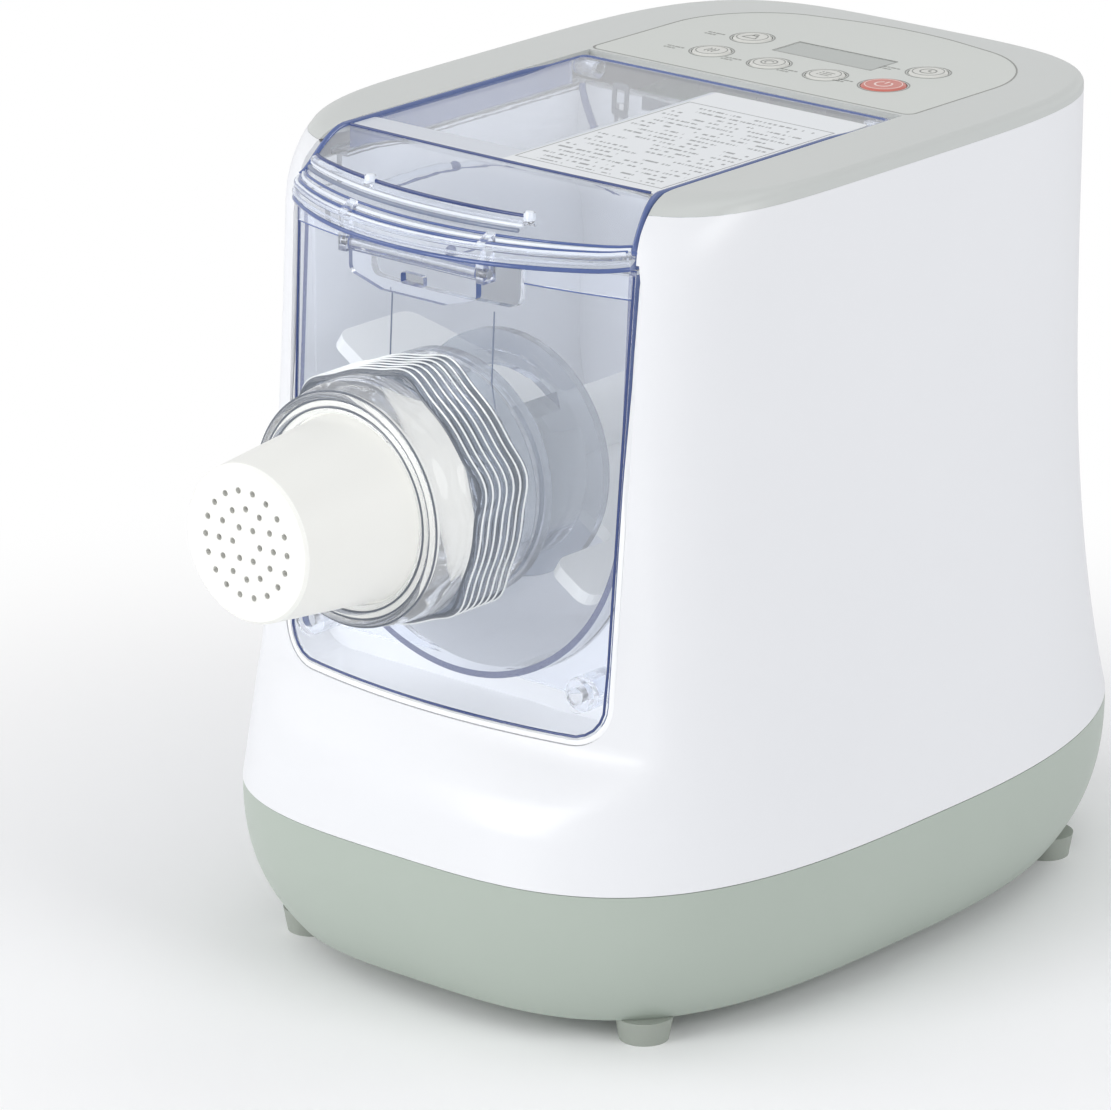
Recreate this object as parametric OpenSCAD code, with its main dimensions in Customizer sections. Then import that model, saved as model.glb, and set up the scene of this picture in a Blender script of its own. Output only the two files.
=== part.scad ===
// Electric pasta maker: lofted housing on a sage base, clear mixing trough with a
// turning paddle and screw, clear front with barrel, lock nut and die, hinged lid,
// push buttons and a two-stage gear drive. Millimetres, +Z up, front faces -Y.

/* [Housing] */
// Height of the top cover above the table
body_h = 291; // [287:1:297]
// Height of the parting line between base and housing
split_z = 60; // [54:1:66]
// Half width of the housing at the parting line
split_half_w = 117; // [112:0.5:121]
// Half width of the housing at the top
top_half_w = 98; // [96:0.5:101]
// Reach to the front from the section centre, at the parting line
split_front = 159.5; // [155:0.5:164]
// Reach to the front from the section centre, at the top
top_front = 128; // [126:1:131]
// Reach to the rear from the section centre, at the parting line
split_rear = 171; // [166:1:176]
// Reach to the rear from the section centre, at the top
top_rear = 132; // [130:1:136]
// Radius that rounds the front edge into the top
nose_r = 28; // [22:1:32]
// Wall of the moulded housing
housing_wall = 2.6; // [2:0.1:3.2]
// Thickness of the grey top cover
cover_t = 5; // [4.5:0.1:6]

/* [Base] */
// Height of the underside of the base tray
tray_z = 8.5; // [7:0.5:10]
// How far the bottom edge of the tray lies inside the parting line
tray_inset = 16; // [10:0.5:18]
// Wall of the base tray
tray_wall = 2.8; // [2.2:0.1:3.4]
// Radius of a rubber foot
foot_r = 10; // [8:0.5:12]
// Half the distance between the left and right feet
foot_x = 76; // [68:1:80]
// Half the distance between the front and rear feet
foot_y = 113; // [103:1:118]
// Width of one cooling slot under the base
vent_w = 3; // [2.5:0.5:4]
// Length of one cooling slot under the base
vent_len = 46; // [30:2:56]

/* [Mixing trough] */
// How far the shaft axis lies below the top of the cover
axis_drop = 104; // [102:0.5:106]
// Inner radius of the trough
trough_r = 70; // [69:0.5:71]
// Wall of the trough
trough_wall = 2.3; // [1.8:0.1:2.6]
// Wall of the bay that the trough sits in
bay_wall = 2; // [1.6:0.1:2.2]
// Play between the trough and its bay
trough_gap = 0.5; // [0.3:0.1:0.8]

/* [Front panel] */
// Height of the clear panel from its lower to its upper edge
panel_h = 160; // [156:1:164]
// How far the panel's upper edge lies below the top of the cover
panel_drop = 23; // [22.5:0.5:27]
// How far the panel's upper edge reaches past the trough's bore on each side
panel_over = 4.4; // [3.4:0.2:5]
// How much narrower than the upper edge the lower edge is, on each side
panel_taper = 3.6; // [2.4:0.2:5.4]
// Thickness of the panel
panel_t = 3; // [2.5:0.1:3.5]
// Lean of the panel, run over rise
panel_lean = 0.0587; // [0.04:0.002:0.07]
// Radius of the bowed panel in plan, at its upper edge
panel_bow_r = 275; // [262:1:290]

/* [Barrel, nut and die] */
// Bore of the clear barrel
barrel_bore_r = 31; // [30:0.2:31.6]
// Outer radius of the clear barrel
barrel_r = 36; // [35:0.2:36.4]
// Outer radius of the lock nut between its grips
nut_r = 43.4; // [42:0.2:45]
// Height of a grip on the lock nut
grip_h = 3.4; // [2:0.2:4.5]
// Number of grips round the lock nut
grip_count = 6; // [4:1:8]
// Number of ribs along the lock nut
rib_count = 6; // [4:1:7]
// Length of the die in front of the lock nut
die_reach = 46; // [36:1:50]
// Radius of the die's front face
die_front_r = 27; // [25:0.5:29]
// Radius of the die's neck at the lock nut
die_neck_r = 32; // [31:0.2:32.4]
// Radius of one noodle hole
die_hole_r = 1.1; // [0.8:0.1:1.4]

/* [Paddle and screw] */
// Room between the paddle's tips and the trough
paddle_gap = 4; // [2:0.5:8]
// Inner radius of the paddle's scraper tips
paddle_tip_r = 47.5; // [46.5:0.5:52]
// Thickness of the paddle
paddle_t = 5; // [4:0.2:6]
// Angle of the paddle round the shaft at rest
paddle_angle = 148; // [0:1:180]
// Radius of the screw's flight
flight_r = 30.4; // [29.6:0.1:30.4]
// Radius of the screw's core
core_r = 10; // [8:0.5:14]
// Pitch of the screw
screw_pitch = 26; // [20:1:34]

/* [Drive] */
// Radius of the output shaft
shaft_r = 8; // [7:0.5:9]
// Teeth on the output gear
out_teeth = 56; // [52:1:58]
// Teeth on the idler's small gear
idler_pinion_teeth = 14; // [13:1:16]
// Teeth on the idler's large gear
idler_teeth = 60; // [56:1:62]
// Teeth on the motor pinion
motor_pinion_teeth = 12; // [12:1:14]
// Module of the output stage
out_module = 1.75; // [1.6:0.05:1.8]
// Module of the motor stage
motor_module = 1.25; // [1.1:0.05:1.3]
// Radius of the motor can
motor_r = 30; // [26:0.5:32]
// Length of the motor can
motor_len = 68; // [60:1:72]

/* [Lid] */
// How far the lid's edge lies inside the trough's bore
lid_inset = 0.9; // [0.6:0.1:2]
// Thickness of the lid's sheet
lid_t = 2.4; // [2:0.1:3]
// How far the lip stands out at its middle
lip_bow = 27; // [20:1:30]
// Width of the printed sheet from the lid's right edge
sheet_w = 70; // [60:1:76]
// Width of the pull tab under the lip
catch_w = 56; // [44:1:60]

/* [Controls] */
// Half width of the control inlay
inlay_half_w = 71; // [64:0.5:74]
// Thickness of the control inlay
inlay_t = 1.4; // [1.2:0.1:1.8]
// Radius of a button
button_r = 7; // [6:0.2:7.6]
// Radius of the start button
start_r = 8; // [7:0.2:9]
// Width of the display
display_w = 43; // [36:1:46]
// Depth of the display
display_d = 15; // [12:0.5:17]
// Travel of a button
button_travel = 1; // [0.6:0.1:1.2]

/* [Hidden] */
$fn = 64;
eps = 0.01;
fit = 0.3;      // face to face play between pieces that move past each other
run_gap = 0.05; // radial play of a shaft in its bush

// --- section geometry -------------------------------------------------------
section_n = 72;
section_y = 5;   // middle of the lofted sections
die_front_y = -176 - die_reach;
set_back = -(section_y + split_rear + die_front_y) / 2;
seam_z = body_h - cover_t;
nose_z = body_h - nose_r;
beyond_y = -split_front - 60;  // well ahead of the whole body
axis_z = body_h - axis_drop;
panel_z1 = body_h - panel_drop;
panel_z0 = panel_z1 - panel_h;
panel_top_w = trough_r + panel_over;
panel_low_w = panel_top_w - panel_taper;
paddle_r = trough_r - paddle_gap;
lid_half_w = trough_r - lid_inset;
side_line = 0.28;  // straight share of the side's flare
side_power = 3.4;
front_line = 0.5;  // straight share of the front's flare
front_power = 2.1;
corner_low = 3.3;  // superellipse exponents of the front and rear corners
corner_top = 5.4;
heel_low = 2.4;
heel_top = 4.2;

function mix(a, b, k) = a + (b - a) * k;
function rise(z) = (z - split_z) / (body_h - split_z);
function flare(t, line, power) = line * (1 - t) + (1 - line) * pow(max(0, 1 - t), power);
function nose_cut(z) =
  z <= nose_z ? 0 : nose_r - sqrt(max(0, pow(nose_r, 2) - pow(z - nose_z, 2)));
function half_w(z) = mix(top_half_w, split_half_w, flare(rise(z), side_line, side_power));
function front_reach(z) =
  mix(top_front, split_front, flare(rise(z), front_line, front_power)) - nose_cut(z);
function rear_reach(z) = mix(top_rear, split_rear, flare(rise(z), side_line, side_power));
function front_corner(z) = mix(corner_low, corner_top, rise(z));
function rear_corner(z) = mix(heel_low, heel_top, rise(z));

// One closed section: a superellipse with its own front and rear reach
function section(w, front, rear, nf, nr, z) = [for (i = [0:section_n - 1])
  let (a = 360 * i / section_n, c = cos(a), s = sin(a), e = s < 0 ? nf : nr,
       reach = s < 0 ? front : rear,
       r = pow(pow(abs(c) / w, e) + pow(abs(s) / reach, e), -1 / e))
  [r * c, section_y + r * s, z]];
function housing_section(z, inset) = section(half_w(z) - inset, front_reach(z) - inset,
  rear_reach(z) - inset, front_corner(z), rear_corner(z), z);

// Base sections: the bottom edge rolls under with a superelliptic profile
tray_power = 2.6;
tray_heel = 0.7;    // share of the inset at the rear
function roll(z) = 1 - pow(1 - min(1, max(0, (z - tray_z) / (split_z - tray_z))), tray_power);
function tray_section(z, level, inset) = section(
  split_half_w - tray_inset * (1 - roll(z)) - inset,
  split_front - tray_inset * (1 - roll(z)) - inset,
  split_rear - tray_inset * tray_heel * (1 - roll(z)) - inset, corner_low, heel_low, level);

// Solid through a stack of sections
module loft(rows) {
  n = len(rows[0]);
  m = len(rows);
  polyhedron(points = [for (r = rows) each r], faces = concat(
    [[for (i = [0:n - 1]) i]],
    [[for (i = [n - 1:-1:0]) (m - 1) * n + i]],
    [for (k = [0:m - 2], i = [0:n - 1]) let (j = (i + 1) % n)
      [k * n + i, (k + 1) * n + i, (k + 1) * n + j, k * n + j]]));
}

// Walled ring through a stack of sections that returns to its start
module loft_ring(rows) {
  n = len(rows[0]);
  m = len(rows);
  polyhedron(points = [for (r = rows) each r],
    faces = [for (k = [0:m - 1], i = [0:n - 1]) let (j = (i + 1) % n, l = (k + 1) % m)
      [k * n + i, l * n + i, l * n + j, k * n + j]]);
}

// Corner-rounded outline: each point is [x, y, radius]
function unit(v) = v / norm(v);
function corner_arc(p, q, r, steps) =
  let (a = unit([p.x - q.x, p.y - q.y]), b = unit([r.x - q.x, r.y - q.y]),
       half = acos(a * b) / 2, reach = q.z / tan(half),
       mid = [q.x, q.y] + unit(a + b) * q.z / sin(half),
       start = [q.x, q.y] + a * reach - mid, end = [q.x, q.y] + b * reach - mid,
       a0 = atan2(start.y, start.x), da = atan2(end.y, end.x) - a0,
       turn = da > 180 ? da - 360 : da < -180 ? da + 360 : da)
  [for (k = [0:steps]) mid + q.z * [cos(a0 + turn * k / steps), sin(a0 + turn * k / steps)]];
function rounded(pts, steps = 8) = [for (i = [0:len(pts) - 1])
  let (n = len(pts), p = pts[(i + n - 1) % n], q = pts[i], r = pts[(i + 1) % n])
  each (q.z > 0 ? corner_arc(p, q, r, steps) : [[q.x, q.y]])];

// Upright XZ outline swept from y0 back to y1
module sweep_y(y0, y1) translate([0, y1, 0]) rotate([90, 0, 0]) linear_extrude(y1 - y0) children();
// Round bar along Y
module bar_y(r, y0, y1, x = 0, z = axis_z)
  translate([x, y1, z]) rotate([90, 0, 0]) cylinder(r = r, h = y1 - y0);
module cone_y(r0, r1, y0, y1, x = 0, z = axis_z)
  translate([x, y1, z]) rotate([90, 0, 0]) cylinder(r1 = r1, r2 = r0, h = y1 - y0);
module block(x0, x1, y0, y1, z0, z1) translate([x0, y0, z0]) cube([x1 - x0, y1 - y0, z1 - z0]);
module seat() translate([0, set_back, 0]) children();

// --- stations along Y, from the die back to the motor ------------------------
nut_front_y = -176;
nut_lip_t = 4;
die_seat_y = nut_front_y + nut_lip_t;
barrel_front_y = -152;
nut_rear_y = -134.2;
boss_front_y = -133.8;
collar_front_y = -123;
collar_t = 3.5;
barrel_rear_y = -90;
tip_front_y = -117;
tip_rear_y = -81;
blade_front_y = -86;
blade_rear_y = -60;
hub_rear_y = 22;
bay_front_y = -108;
bay_frame_t = 2.4;
trough_front_y = -117.5;
trough_rear_y = 28.3;
bay_rear_y = 31;
bay_rear_t = 3;
case_y = 36;
case_t = 3;
out_gear_y = 41;
out_gear_w = 10;
idler_gear_y = 53;
idler_gear_w = 8;
cover_y = 63;
gear_cover_t = 3;
motor_y = cover_y + gear_cover_t;
fan_y = motor_y + motor_len + 5;

// --- heights -----------------------------------------------------------------
trough_top_z = seam_z - 6;
rim_t = 2.4;
lid_top_z = body_h - 1;
lid_low_z = lid_top_z - lid_t;
window_front_y = -96;
lid_rear_y = 28.4;
opening_rear_y = 31.4;

colour_white = [0.93, 0.935, 0.95];
colour_grey = [0.82, 0.83, 0.82];
colour_sage = [0.70, 0.75, 0.71];
colour_clear = [0.72, 0.78, 0.88, 0.45];
colour_steel = [0.72, 0.73, 0.75];
colour_dark = [0.20, 0.21, 0.22];
colour_brass = [0.78, 0.66, 0.38];
colour_nylon = [0.90, 0.89, 0.84];
colour_board = [0.16, 0.36, 0.24];

// --- base ----------------------------------------------------------------------
tray_rows = 7;
function tray_level(k) = tray_z + (split_z - tray_z) * pow(k / tray_rows, 2.2);
vent_end_r = vent_w * 0.49;
inlet_w = 28;
inlet_h = 20;
inlet_z = 32;
inlet_depth = 23;
inlet_face_y = section_y + split_rear - 0.8;
foot_pin_r = 3.2;
screw_x = split_half_w - 34;
screw_front_y = -87;
screw_rear_y = 85;
post_r = 5.5;
post_low_h = 50;     // where the tray's post meets the housing's
post_high_z = 86;
screw_seat_z = 42;

module at_feet() for (sx = [-1, 1], sy = [-1, 1])
  translate([sx * foot_x, section_y - 3 + sy * foot_y, 0]) children();
module at_screws() for (sx = [-1, 1], y = [screw_front_y, screw_rear_y])
  translate([sx * screw_x, y, 0]) children();

module base_tray() seat() color(colour_sage) difference() {
  union() {
    difference() {
      loft([for (k = [0:tray_rows]) tray_section(tray_level(k), tray_level(k), 0)]);
      loft([for (k = [1:tray_rows]) tray_section(tray_level(k),
        k == 1 ? tray_z + tray_wall : k == tray_rows ? split_z + eps : tray_level(k), tray_wall)]);
    }
    at_screws() cylinder(r = post_r, h = post_low_h);
  }
  // screw posts are cut off level with the underside and bored from below
  at_screws() translate([0, 0, -eps]) cylinder(r = post_r + 1, h = tray_z + eps);
  at_screws() cylinder(r = 1.6, h = split_z);
  at_screws() cylinder(r = 3.4, h = screw_seat_z);
  at_feet() cylinder(r = foot_pin_r, h = split_z / 2);
  // cooling slots under the motor
  for (k = [-6:6]) translate([k * 2 * vent_w, 88, 0]) linear_extrude(split_z / 2)
    polygon(rounded([[-vent_w / 2, -vent_len / 2, vent_end_r], [vent_w / 2, -vent_len / 2, vent_end_r],
      [vent_w / 2, vent_len / 2, vent_end_r], [-vent_w / 2, vent_len / 2, vent_end_r]], 5));
  // window for the mains inlet
  block(-inlet_w / 2, inlet_w / 2, inlet_face_y - 2 * inlet_depth, inlet_face_y + 5,
    inlet_z - inlet_h / 2, inlet_z + inlet_h / 2);
}

module rubber_feet() seat() color([0.66, 0.69, 0.66]) at_feet() {
  cylinder(r1 = foot_r - 1.5, r2 = foot_r, h = tray_z);
  cylinder(r = foot_pin_r, h = tray_z + tray_wall + 1.5);
}

module base_screws() seat() color(colour_steel) at_screws() {
  cylinder_from(3.1, screw_seat_z - 2.2, screw_seat_z);
  cylinder_from(1.6, screw_seat_z - 1, post_low_h + 10);
}
module cylinder_from(r, z0, z1) translate([0, 0, z0]) cylinder(r = r, h = z1 - z0);

module power_inlet() seat() color(colour_dark) difference() {
  block(-inlet_w / 2, inlet_w / 2, inlet_face_y - inlet_depth, inlet_face_y,
    inlet_z - inlet_h / 2, inlet_z + inlet_h / 2);
  sweep_y(inlet_face_y - inlet_depth + 4, inlet_face_y + 1) polygon(rounded([
    [-12, inlet_z - 8.2, 1], [12, inlet_z - 8.2, 1], [12, inlet_z + 3.5, 0.5],
    [7.5, inlet_z + 8.2, 0.5], [-7.5, inlet_z + 8.2, 0.5], [-12, inlet_z + 3.5, 0.5]], 3));
  inlet_blades(inlet_face_y - inlet_depth - 1);
}

module inlet_blades(y0) for (p = [[-7, -1.5], [7, -1.5], [0, 2.5]])
  block(p.x - 1, p.x + 1, y0, inlet_face_y - 4, inlet_z + p.y - 2, inlet_z + p.y + 2);
module inlet_pins() seat() color(colour_brass) inlet_blades(inlet_face_y - inlet_depth - 6);

// --- housing ---------------------------------------------------------------------
low_rows = 8;
top_rows = 4;
nose_angle = asin((seam_z - nose_z) / nose_r);
housing_levels = concat(
  [for (k = [0:low_rows]) split_z + (nose_z - split_z) * pow(k / low_rows, 1.35)],
  [for (k = [1:top_rows]) nose_z + nose_r * sin(nose_angle * k / top_rows)]);
inner_levels = [seam_z, mix(nose_z, seam_z, 0.6), nose_z, mix(split_z, nose_z, 0.5),
  mix(split_z, nose_z, 0.22), mix(split_z, nose_z, 0.08), split_z];
jamb_t = 1.7;
// Half width of the wall's middle at a place along Y
function wall_x(y, z) =
  let (e = y < section_y ? front_corner(z) : rear_corner(z),
       reach = (y < section_y ? front_reach(z) : rear_reach(z)) - housing_wall / 2)
  (half_w(z) - housing_wall / 2) * pow(1 - pow(abs(y - section_y) / reach, e), 1 / e);

// Outline of the clear panel, seen from the front, grown by g all round
panel_corner_r = 13;
function panel_w(z) = mix(panel_low_w, panel_top_w, (z - panel_z0) / (panel_z1 - panel_z0));
function panel_outline(g, top) = rounded([[-panel_w(top) - g, top, 0],
  [-panel_low_w - g, panel_z0 - g, panel_corner_r + g],
  [panel_low_w + g, panel_z0 - g, panel_corner_r + g], [panel_w(top) + g, top, 0]], 8);
jamb_gap = 0.5;
jamb_out = jamb_gap + jamb_t;

// Leaning cone concentric with the bowed panel; g is measured from the panel's front face
function bow_r(z) = panel_bow_r + panel_lean * (panel_z1 - z);
module bow_cone(g) translate([0, bow_y, 0]) cylinder(r1 = bow_r(0) + g, r2 = bow_r(body_h) + g,
  h = body_h, $fn = 360);

// Shallow recess round the panel, which ramps out to the flared foot below it
recess_proud = 0.7;
recess_side = 14;
recess_low_r = 30;
ramp_z = panel_z0 - 4;
ramp_h = 20;
ramp_out = 14.5;
module front_recess() intersection() {
  translate([0, bow_y, 0]) rotate([0, 0, 245]) rotate_extrude(angle = 50, $fn = 360) polygon([
    [bow_r(body_h + 5) + recess_proud, body_h + 5], [bow_r(ramp_z) + recess_proud, ramp_z],
    [bow_r(ramp_z) + recess_proud + ramp_out, ramp_z - ramp_h], [bow_y - beyond_y, ramp_z - ramp_h],
    [bow_y - beyond_y, body_h + 5]]);
  sweep_y(beyond_y - 20, -60) polygon(rounded([[-panel_w(body_h + 6) - recess_side, body_h + 6, 0],
    [-panel_low_w - recess_side, ramp_z - ramp_h, recess_low_r],
    [panel_low_w + recess_side, ramp_z - ramp_h, recess_low_r],
    [panel_w(body_h + 6) + recess_side, body_h + 6, 0]], 10));
}

// Rear cooling louvres
module louvres(count, w, z0) for (k = [0:count - 1])
  block(-w / 2, w / 2, section_y + top_rear - 30, section_y + split_rear + 20, z0 + k * 7, z0 + k * 7 + 3);

module body_housing() seat() color(colour_white) difference() {
  union() {
    loft_ring(concat([for (z = housing_levels) housing_section(z, 0)],
      [for (z = inner_levels) housing_section(z, housing_wall)]));
    // screw posts, each on a web that grows out of the side wall
    at_screws() cylinder_from(post_r, post_low_h, post_high_z);
    for (sx = [-1, 1], y = [screw_front_y, screw_rear_y]) let (web_x = wall_x(y, post_high_z))
      block(min(sx * screw_x, sx * web_x), max(sx * screw_x, sx * web_x), y - 1.5, y + 1.5,
        post_high_z - 18, post_high_z);
  }
  at_screws() cylinder_from(1.6, post_low_h - 1, post_low_h + 12);
  sweep_y(beyond_y, bay_front_y) polygon(panel_outline(jamb_out + fit, body_h + 10));
  // the corners of the upper edge are cut back to clear the lid's visor
  block(-panel_top_w - jamb_out - 1, panel_top_w + jamb_out + 1, beyond_y, window_front_y,
    nose_z + 4, body_h);
  front_recess();
  louvres(5, 60, split_z + 30);
}

// --- top cover ----------------------------------------------------------------------
cover_edge = 3.2;
cover_levels = [for (a = [0:22.5:90]) sin(a)];
skirt_z = trough_top_z + 0.4;
skirt_t = 2;
skirt_play = 0.5;
rim_clear = 0.6;
boss_low_z = seam_z - 4.4;
inlay_front_y = 33.6;
inlay_rear_y = 124;
inlay_z = body_h - inlay_t;
function inlay_outline(g) = rounded([[-inlay_half_w - g, inlay_front_y - g, 4],
  [inlay_half_w + g, inlay_front_y - g, 4], [inlay_half_w + g, inlay_rear_y - 10, 40],
  [0, inlay_rear_y + 4 + g, 120], [-inlay_half_w - g, inlay_rear_y - 10, 40]], 10);
button_row_y = 57;
rear_row_y = 81;
display_y = 80;
display_x = 2;
start_at = [40, button_row_y + 2];
button_at = [[-35, button_row_y], [-9, button_row_y], [16, button_row_y],
  [-36, rear_row_y], [41, rear_row_y + 2]];
button_hole_gap = 0.35;
board_top_z = seam_z - 10;
board_t = 1.6;
board_x = 56;
board_y0 = 42;
board_y1 = 104;

module button_holes(z0, z1) {
  for (p = button_at) translate([p.x, p.y, 0]) cylinder_from(button_r + button_hole_gap, z0, z1);
  translate([start_at.x, start_at.y, 0]) cylinder_from(start_r + button_hole_gap, z0, z1);
}

module skirt_solid(inset, z0, z1) translate([0, 0, z0]) linear_extrude(z1 - z0)
  polygon([for (p = housing_section(seam_z, inset)) [p.x, p.y]]);

module top_cover() seat() color(colour_grey) difference() {
  union() {
    loft(concat([housing_section(seam_z, 0)], [for (s = cover_levels)
      let (z = body_h - cover_edge + cover_edge * s, in = cover_edge * (1 - sqrt(1 - s * s)))
      housing_section(z, in)]));
    // locating skirt inside the housing
    difference() {
      skirt_solid(housing_wall + skirt_play, skirt_z, seam_z + 1);
      skirt_solid(housing_wall + skirt_play + skirt_t, skirt_z - 1, seam_z);
    }
    // sockets that carry the hinge pins
    for (sx = [-1, 1]) block(min(sx * (lid_half_w + 0.9), sx * (lid_half_w + 8)),
      max(sx * (lid_half_w + 0.9), sx * (lid_half_w + 8)), hinge_y - 4, hinge_y + 4,
      boss_low_z, seam_z + 1);
    for (sx = [-1, 1], y = [board_y0 + 5, board_y1 - 5])
      translate([sx * (board_x - 5), y, 0]) cylinder_from(3, board_top_z, seam_z + 1);
  }
  // opening for the lid and the trough, wider towards the front where the visor flares
  translate([0, 0, skirt_z - 1]) linear_extrude(body_h + 2 - skirt_z) polygon([
    [-lid_half_w - rim_clear, opening_rear_y], [-lid_half_w - rim_clear, window_front_y + 1],
    [-lip_half_w - 1, lip_end_y], [-lip_half_w - 1, beyond_y], [lip_half_w + 1, beyond_y],
    [lip_half_w + 1, lip_end_y], [lid_half_w + rim_clear, window_front_y + 1],
    [lid_half_w + rim_clear, opening_rear_y]]);
  // seat of the control inlay
  translate([0, 0, inlay_z]) linear_extrude(inlay_t + 1) polygon(inlay_outline(fit));
  button_holes(seam_z - 1, body_h + 1);
  block(display_x - display_w / 2 + 1, display_x + display_w / 2 - 1, display_y - display_d / 2 + 1,
    display_y + display_d / 2 - 1, seam_z - 1, body_h);
  for (sx = [-1, 1]) bar_x(pin_r, sx * (lid_half_w - 12), sx * (lid_half_w + 7.5), hinge_y, hinge_z);
}

module bar_x(r, xa, xb, y, z)
  translate([min(xa, xb), y, z]) rotate([0, 90, 0]) cylinder(r = r, h = abs(xb - xa));

module control_inlay() seat() color([0.86, 0.86, 0.85]) difference() {
  translate([0, 0, inlay_z]) linear_extrude(inlay_t) polygon(inlay_outline(0));
  button_holes(inlay_z - 1, body_h + 1);
  block(display_x - display_w / 2 - 0.1, display_x + display_w / 2 + 0.1, display_y - display_d / 2 - 0.1,
    display_y + display_d / 2 + 0.1, inlay_z - 1, body_h + 1);
}

module display_window() seat() color([0.62, 0.65, 0.64])
  block(display_x - display_w / 2, display_x + display_w / 2, display_y - display_d / 2,
    display_y + display_d / 2, inlay_z, body_h - 0.1);

module display_module() seat() color(colour_dark) union() {
  block(display_x - display_w / 2 - 3, display_x + display_w / 2 + 3, display_y - display_d / 2 - 2,
    display_y + display_d / 2 + 2, board_top_z, seam_z - 0.2);
  block(display_x - display_w / 2 + 2, display_x + display_w / 2 - 2, display_y - display_d / 2 + 2,
    display_y + display_d / 2 - 2, board_top_z, inlay_z - 0.2);
}

module control_board() seat() color(colour_board) difference() {
  block(-board_x, board_x, board_y0, board_y1, board_top_z - board_t, board_top_z);
  for (sx = [-1, 1], y = [board_y0 + 5, board_y1 - 5])
    translate([sx * (board_x - 5), y, 0]) cylinder_from(1.4, board_top_z - 3, board_top_z + 1);
}

switch_h = 3;
module tact_switches() seat() color(colour_dark) for (p = concat(button_at, [start_at])) {
  block(p.x - 3, p.x + 3, p.y - 3, p.y + 3, board_top_z, board_top_z + switch_h);
}

button_proud = 0.5;
flange_t = 1.4;
flange_top_z = seam_z - 0.35;
stem_low_z = board_top_z + switch_h + button_travel + 0.3;
module push_button(p, r) translate([p.x, p.y, 0]) {
  cylinder_from(r, flange_top_z - flange_t, body_h + button_proud - 0.6);
  translate([0, 0, body_h + button_proud - 0.6]) cylinder(r1 = r, r2 = r - 0.6, h = 0.6);
  cylinder_from(r + 1.3, flange_top_z - flange_t, flange_top_z);
  cylinder_from(2, stem_low_z, flange_top_z);
}
module start_button() seat() color([0.80, 0.38, 0.33]) push_button(start_at, start_r);
module noodle_button() seat() color([0.87, 0.87, 0.86]) push_button(button_at[0], button_r);
module knead_button() seat() color([0.87, 0.87, 0.86]) push_button(button_at[1], button_r);
module menu_button() seat() color([0.87, 0.87, 0.86]) push_button(button_at[2], button_r);
module weight_button() seat() color([0.87, 0.87, 0.86]) push_button(button_at[3], button_r);
module time_button() seat() color([0.87, 0.87, 0.86]) push_button(button_at[4], button_r);

// --- bay and trough -------------------------------------------------------------
bay_r = trough_r + trough_wall + trough_gap;
bay_top_z = trough_top_z - rim_t;
jamb_top_z = seam_z - 0.6;
module u_shape(r, top) {
  translate([0, axis_z]) circle(r = r, $fn = 96);
  translate([-r, axis_z]) square([2 * r, top - axis_z]);
}

module mixing_bay() seat() color([0.88, 0.89, 0.92]) difference() {
  union() {
    // jamb that frames the clear panel
    difference() {
      sweep_y(beyond_y, bay_front_y + bay_frame_t) polygon(panel_outline(jamb_out, jamb_top_z));
      sweep_y(beyond_y - 1, bay_front_y) polygon(panel_outline(jamb_gap, jamb_top_z + 5));
    }
    sweep_y(bay_front_y, bay_rear_y + bay_rear_t) intersection() {
      u_shape(bay_r + bay_wall, bay_top_z);
      translate([-2 * bay_r, 0]) square([4 * bay_r, bay_top_z]);
    }
  }
  sweep_y(beyond_y, bay_rear_y) u_shape(bay_r, jamb_top_z + 5);
  // front of the jamb follows the housing's skin from inside
  difference() {
    block(-split_half_w, split_half_w, 2 * beyond_y, bay_front_y + 3, panel_z0 - 18, body_h);
    loft([for (z = housing_levels) housing_section(z, housing_wall + 0.4)]);
  }
  difference() {
    block(-split_half_w, split_half_w, 2 * beyond_y, bay_front_y + 1, panel_z0 - 18, body_h);
    bow_cone(0.3);
  }
  bar_y(shaft_r + 5.1, bay_rear_y - 1, bay_rear_y + bay_rear_t + 1);
}

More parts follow.
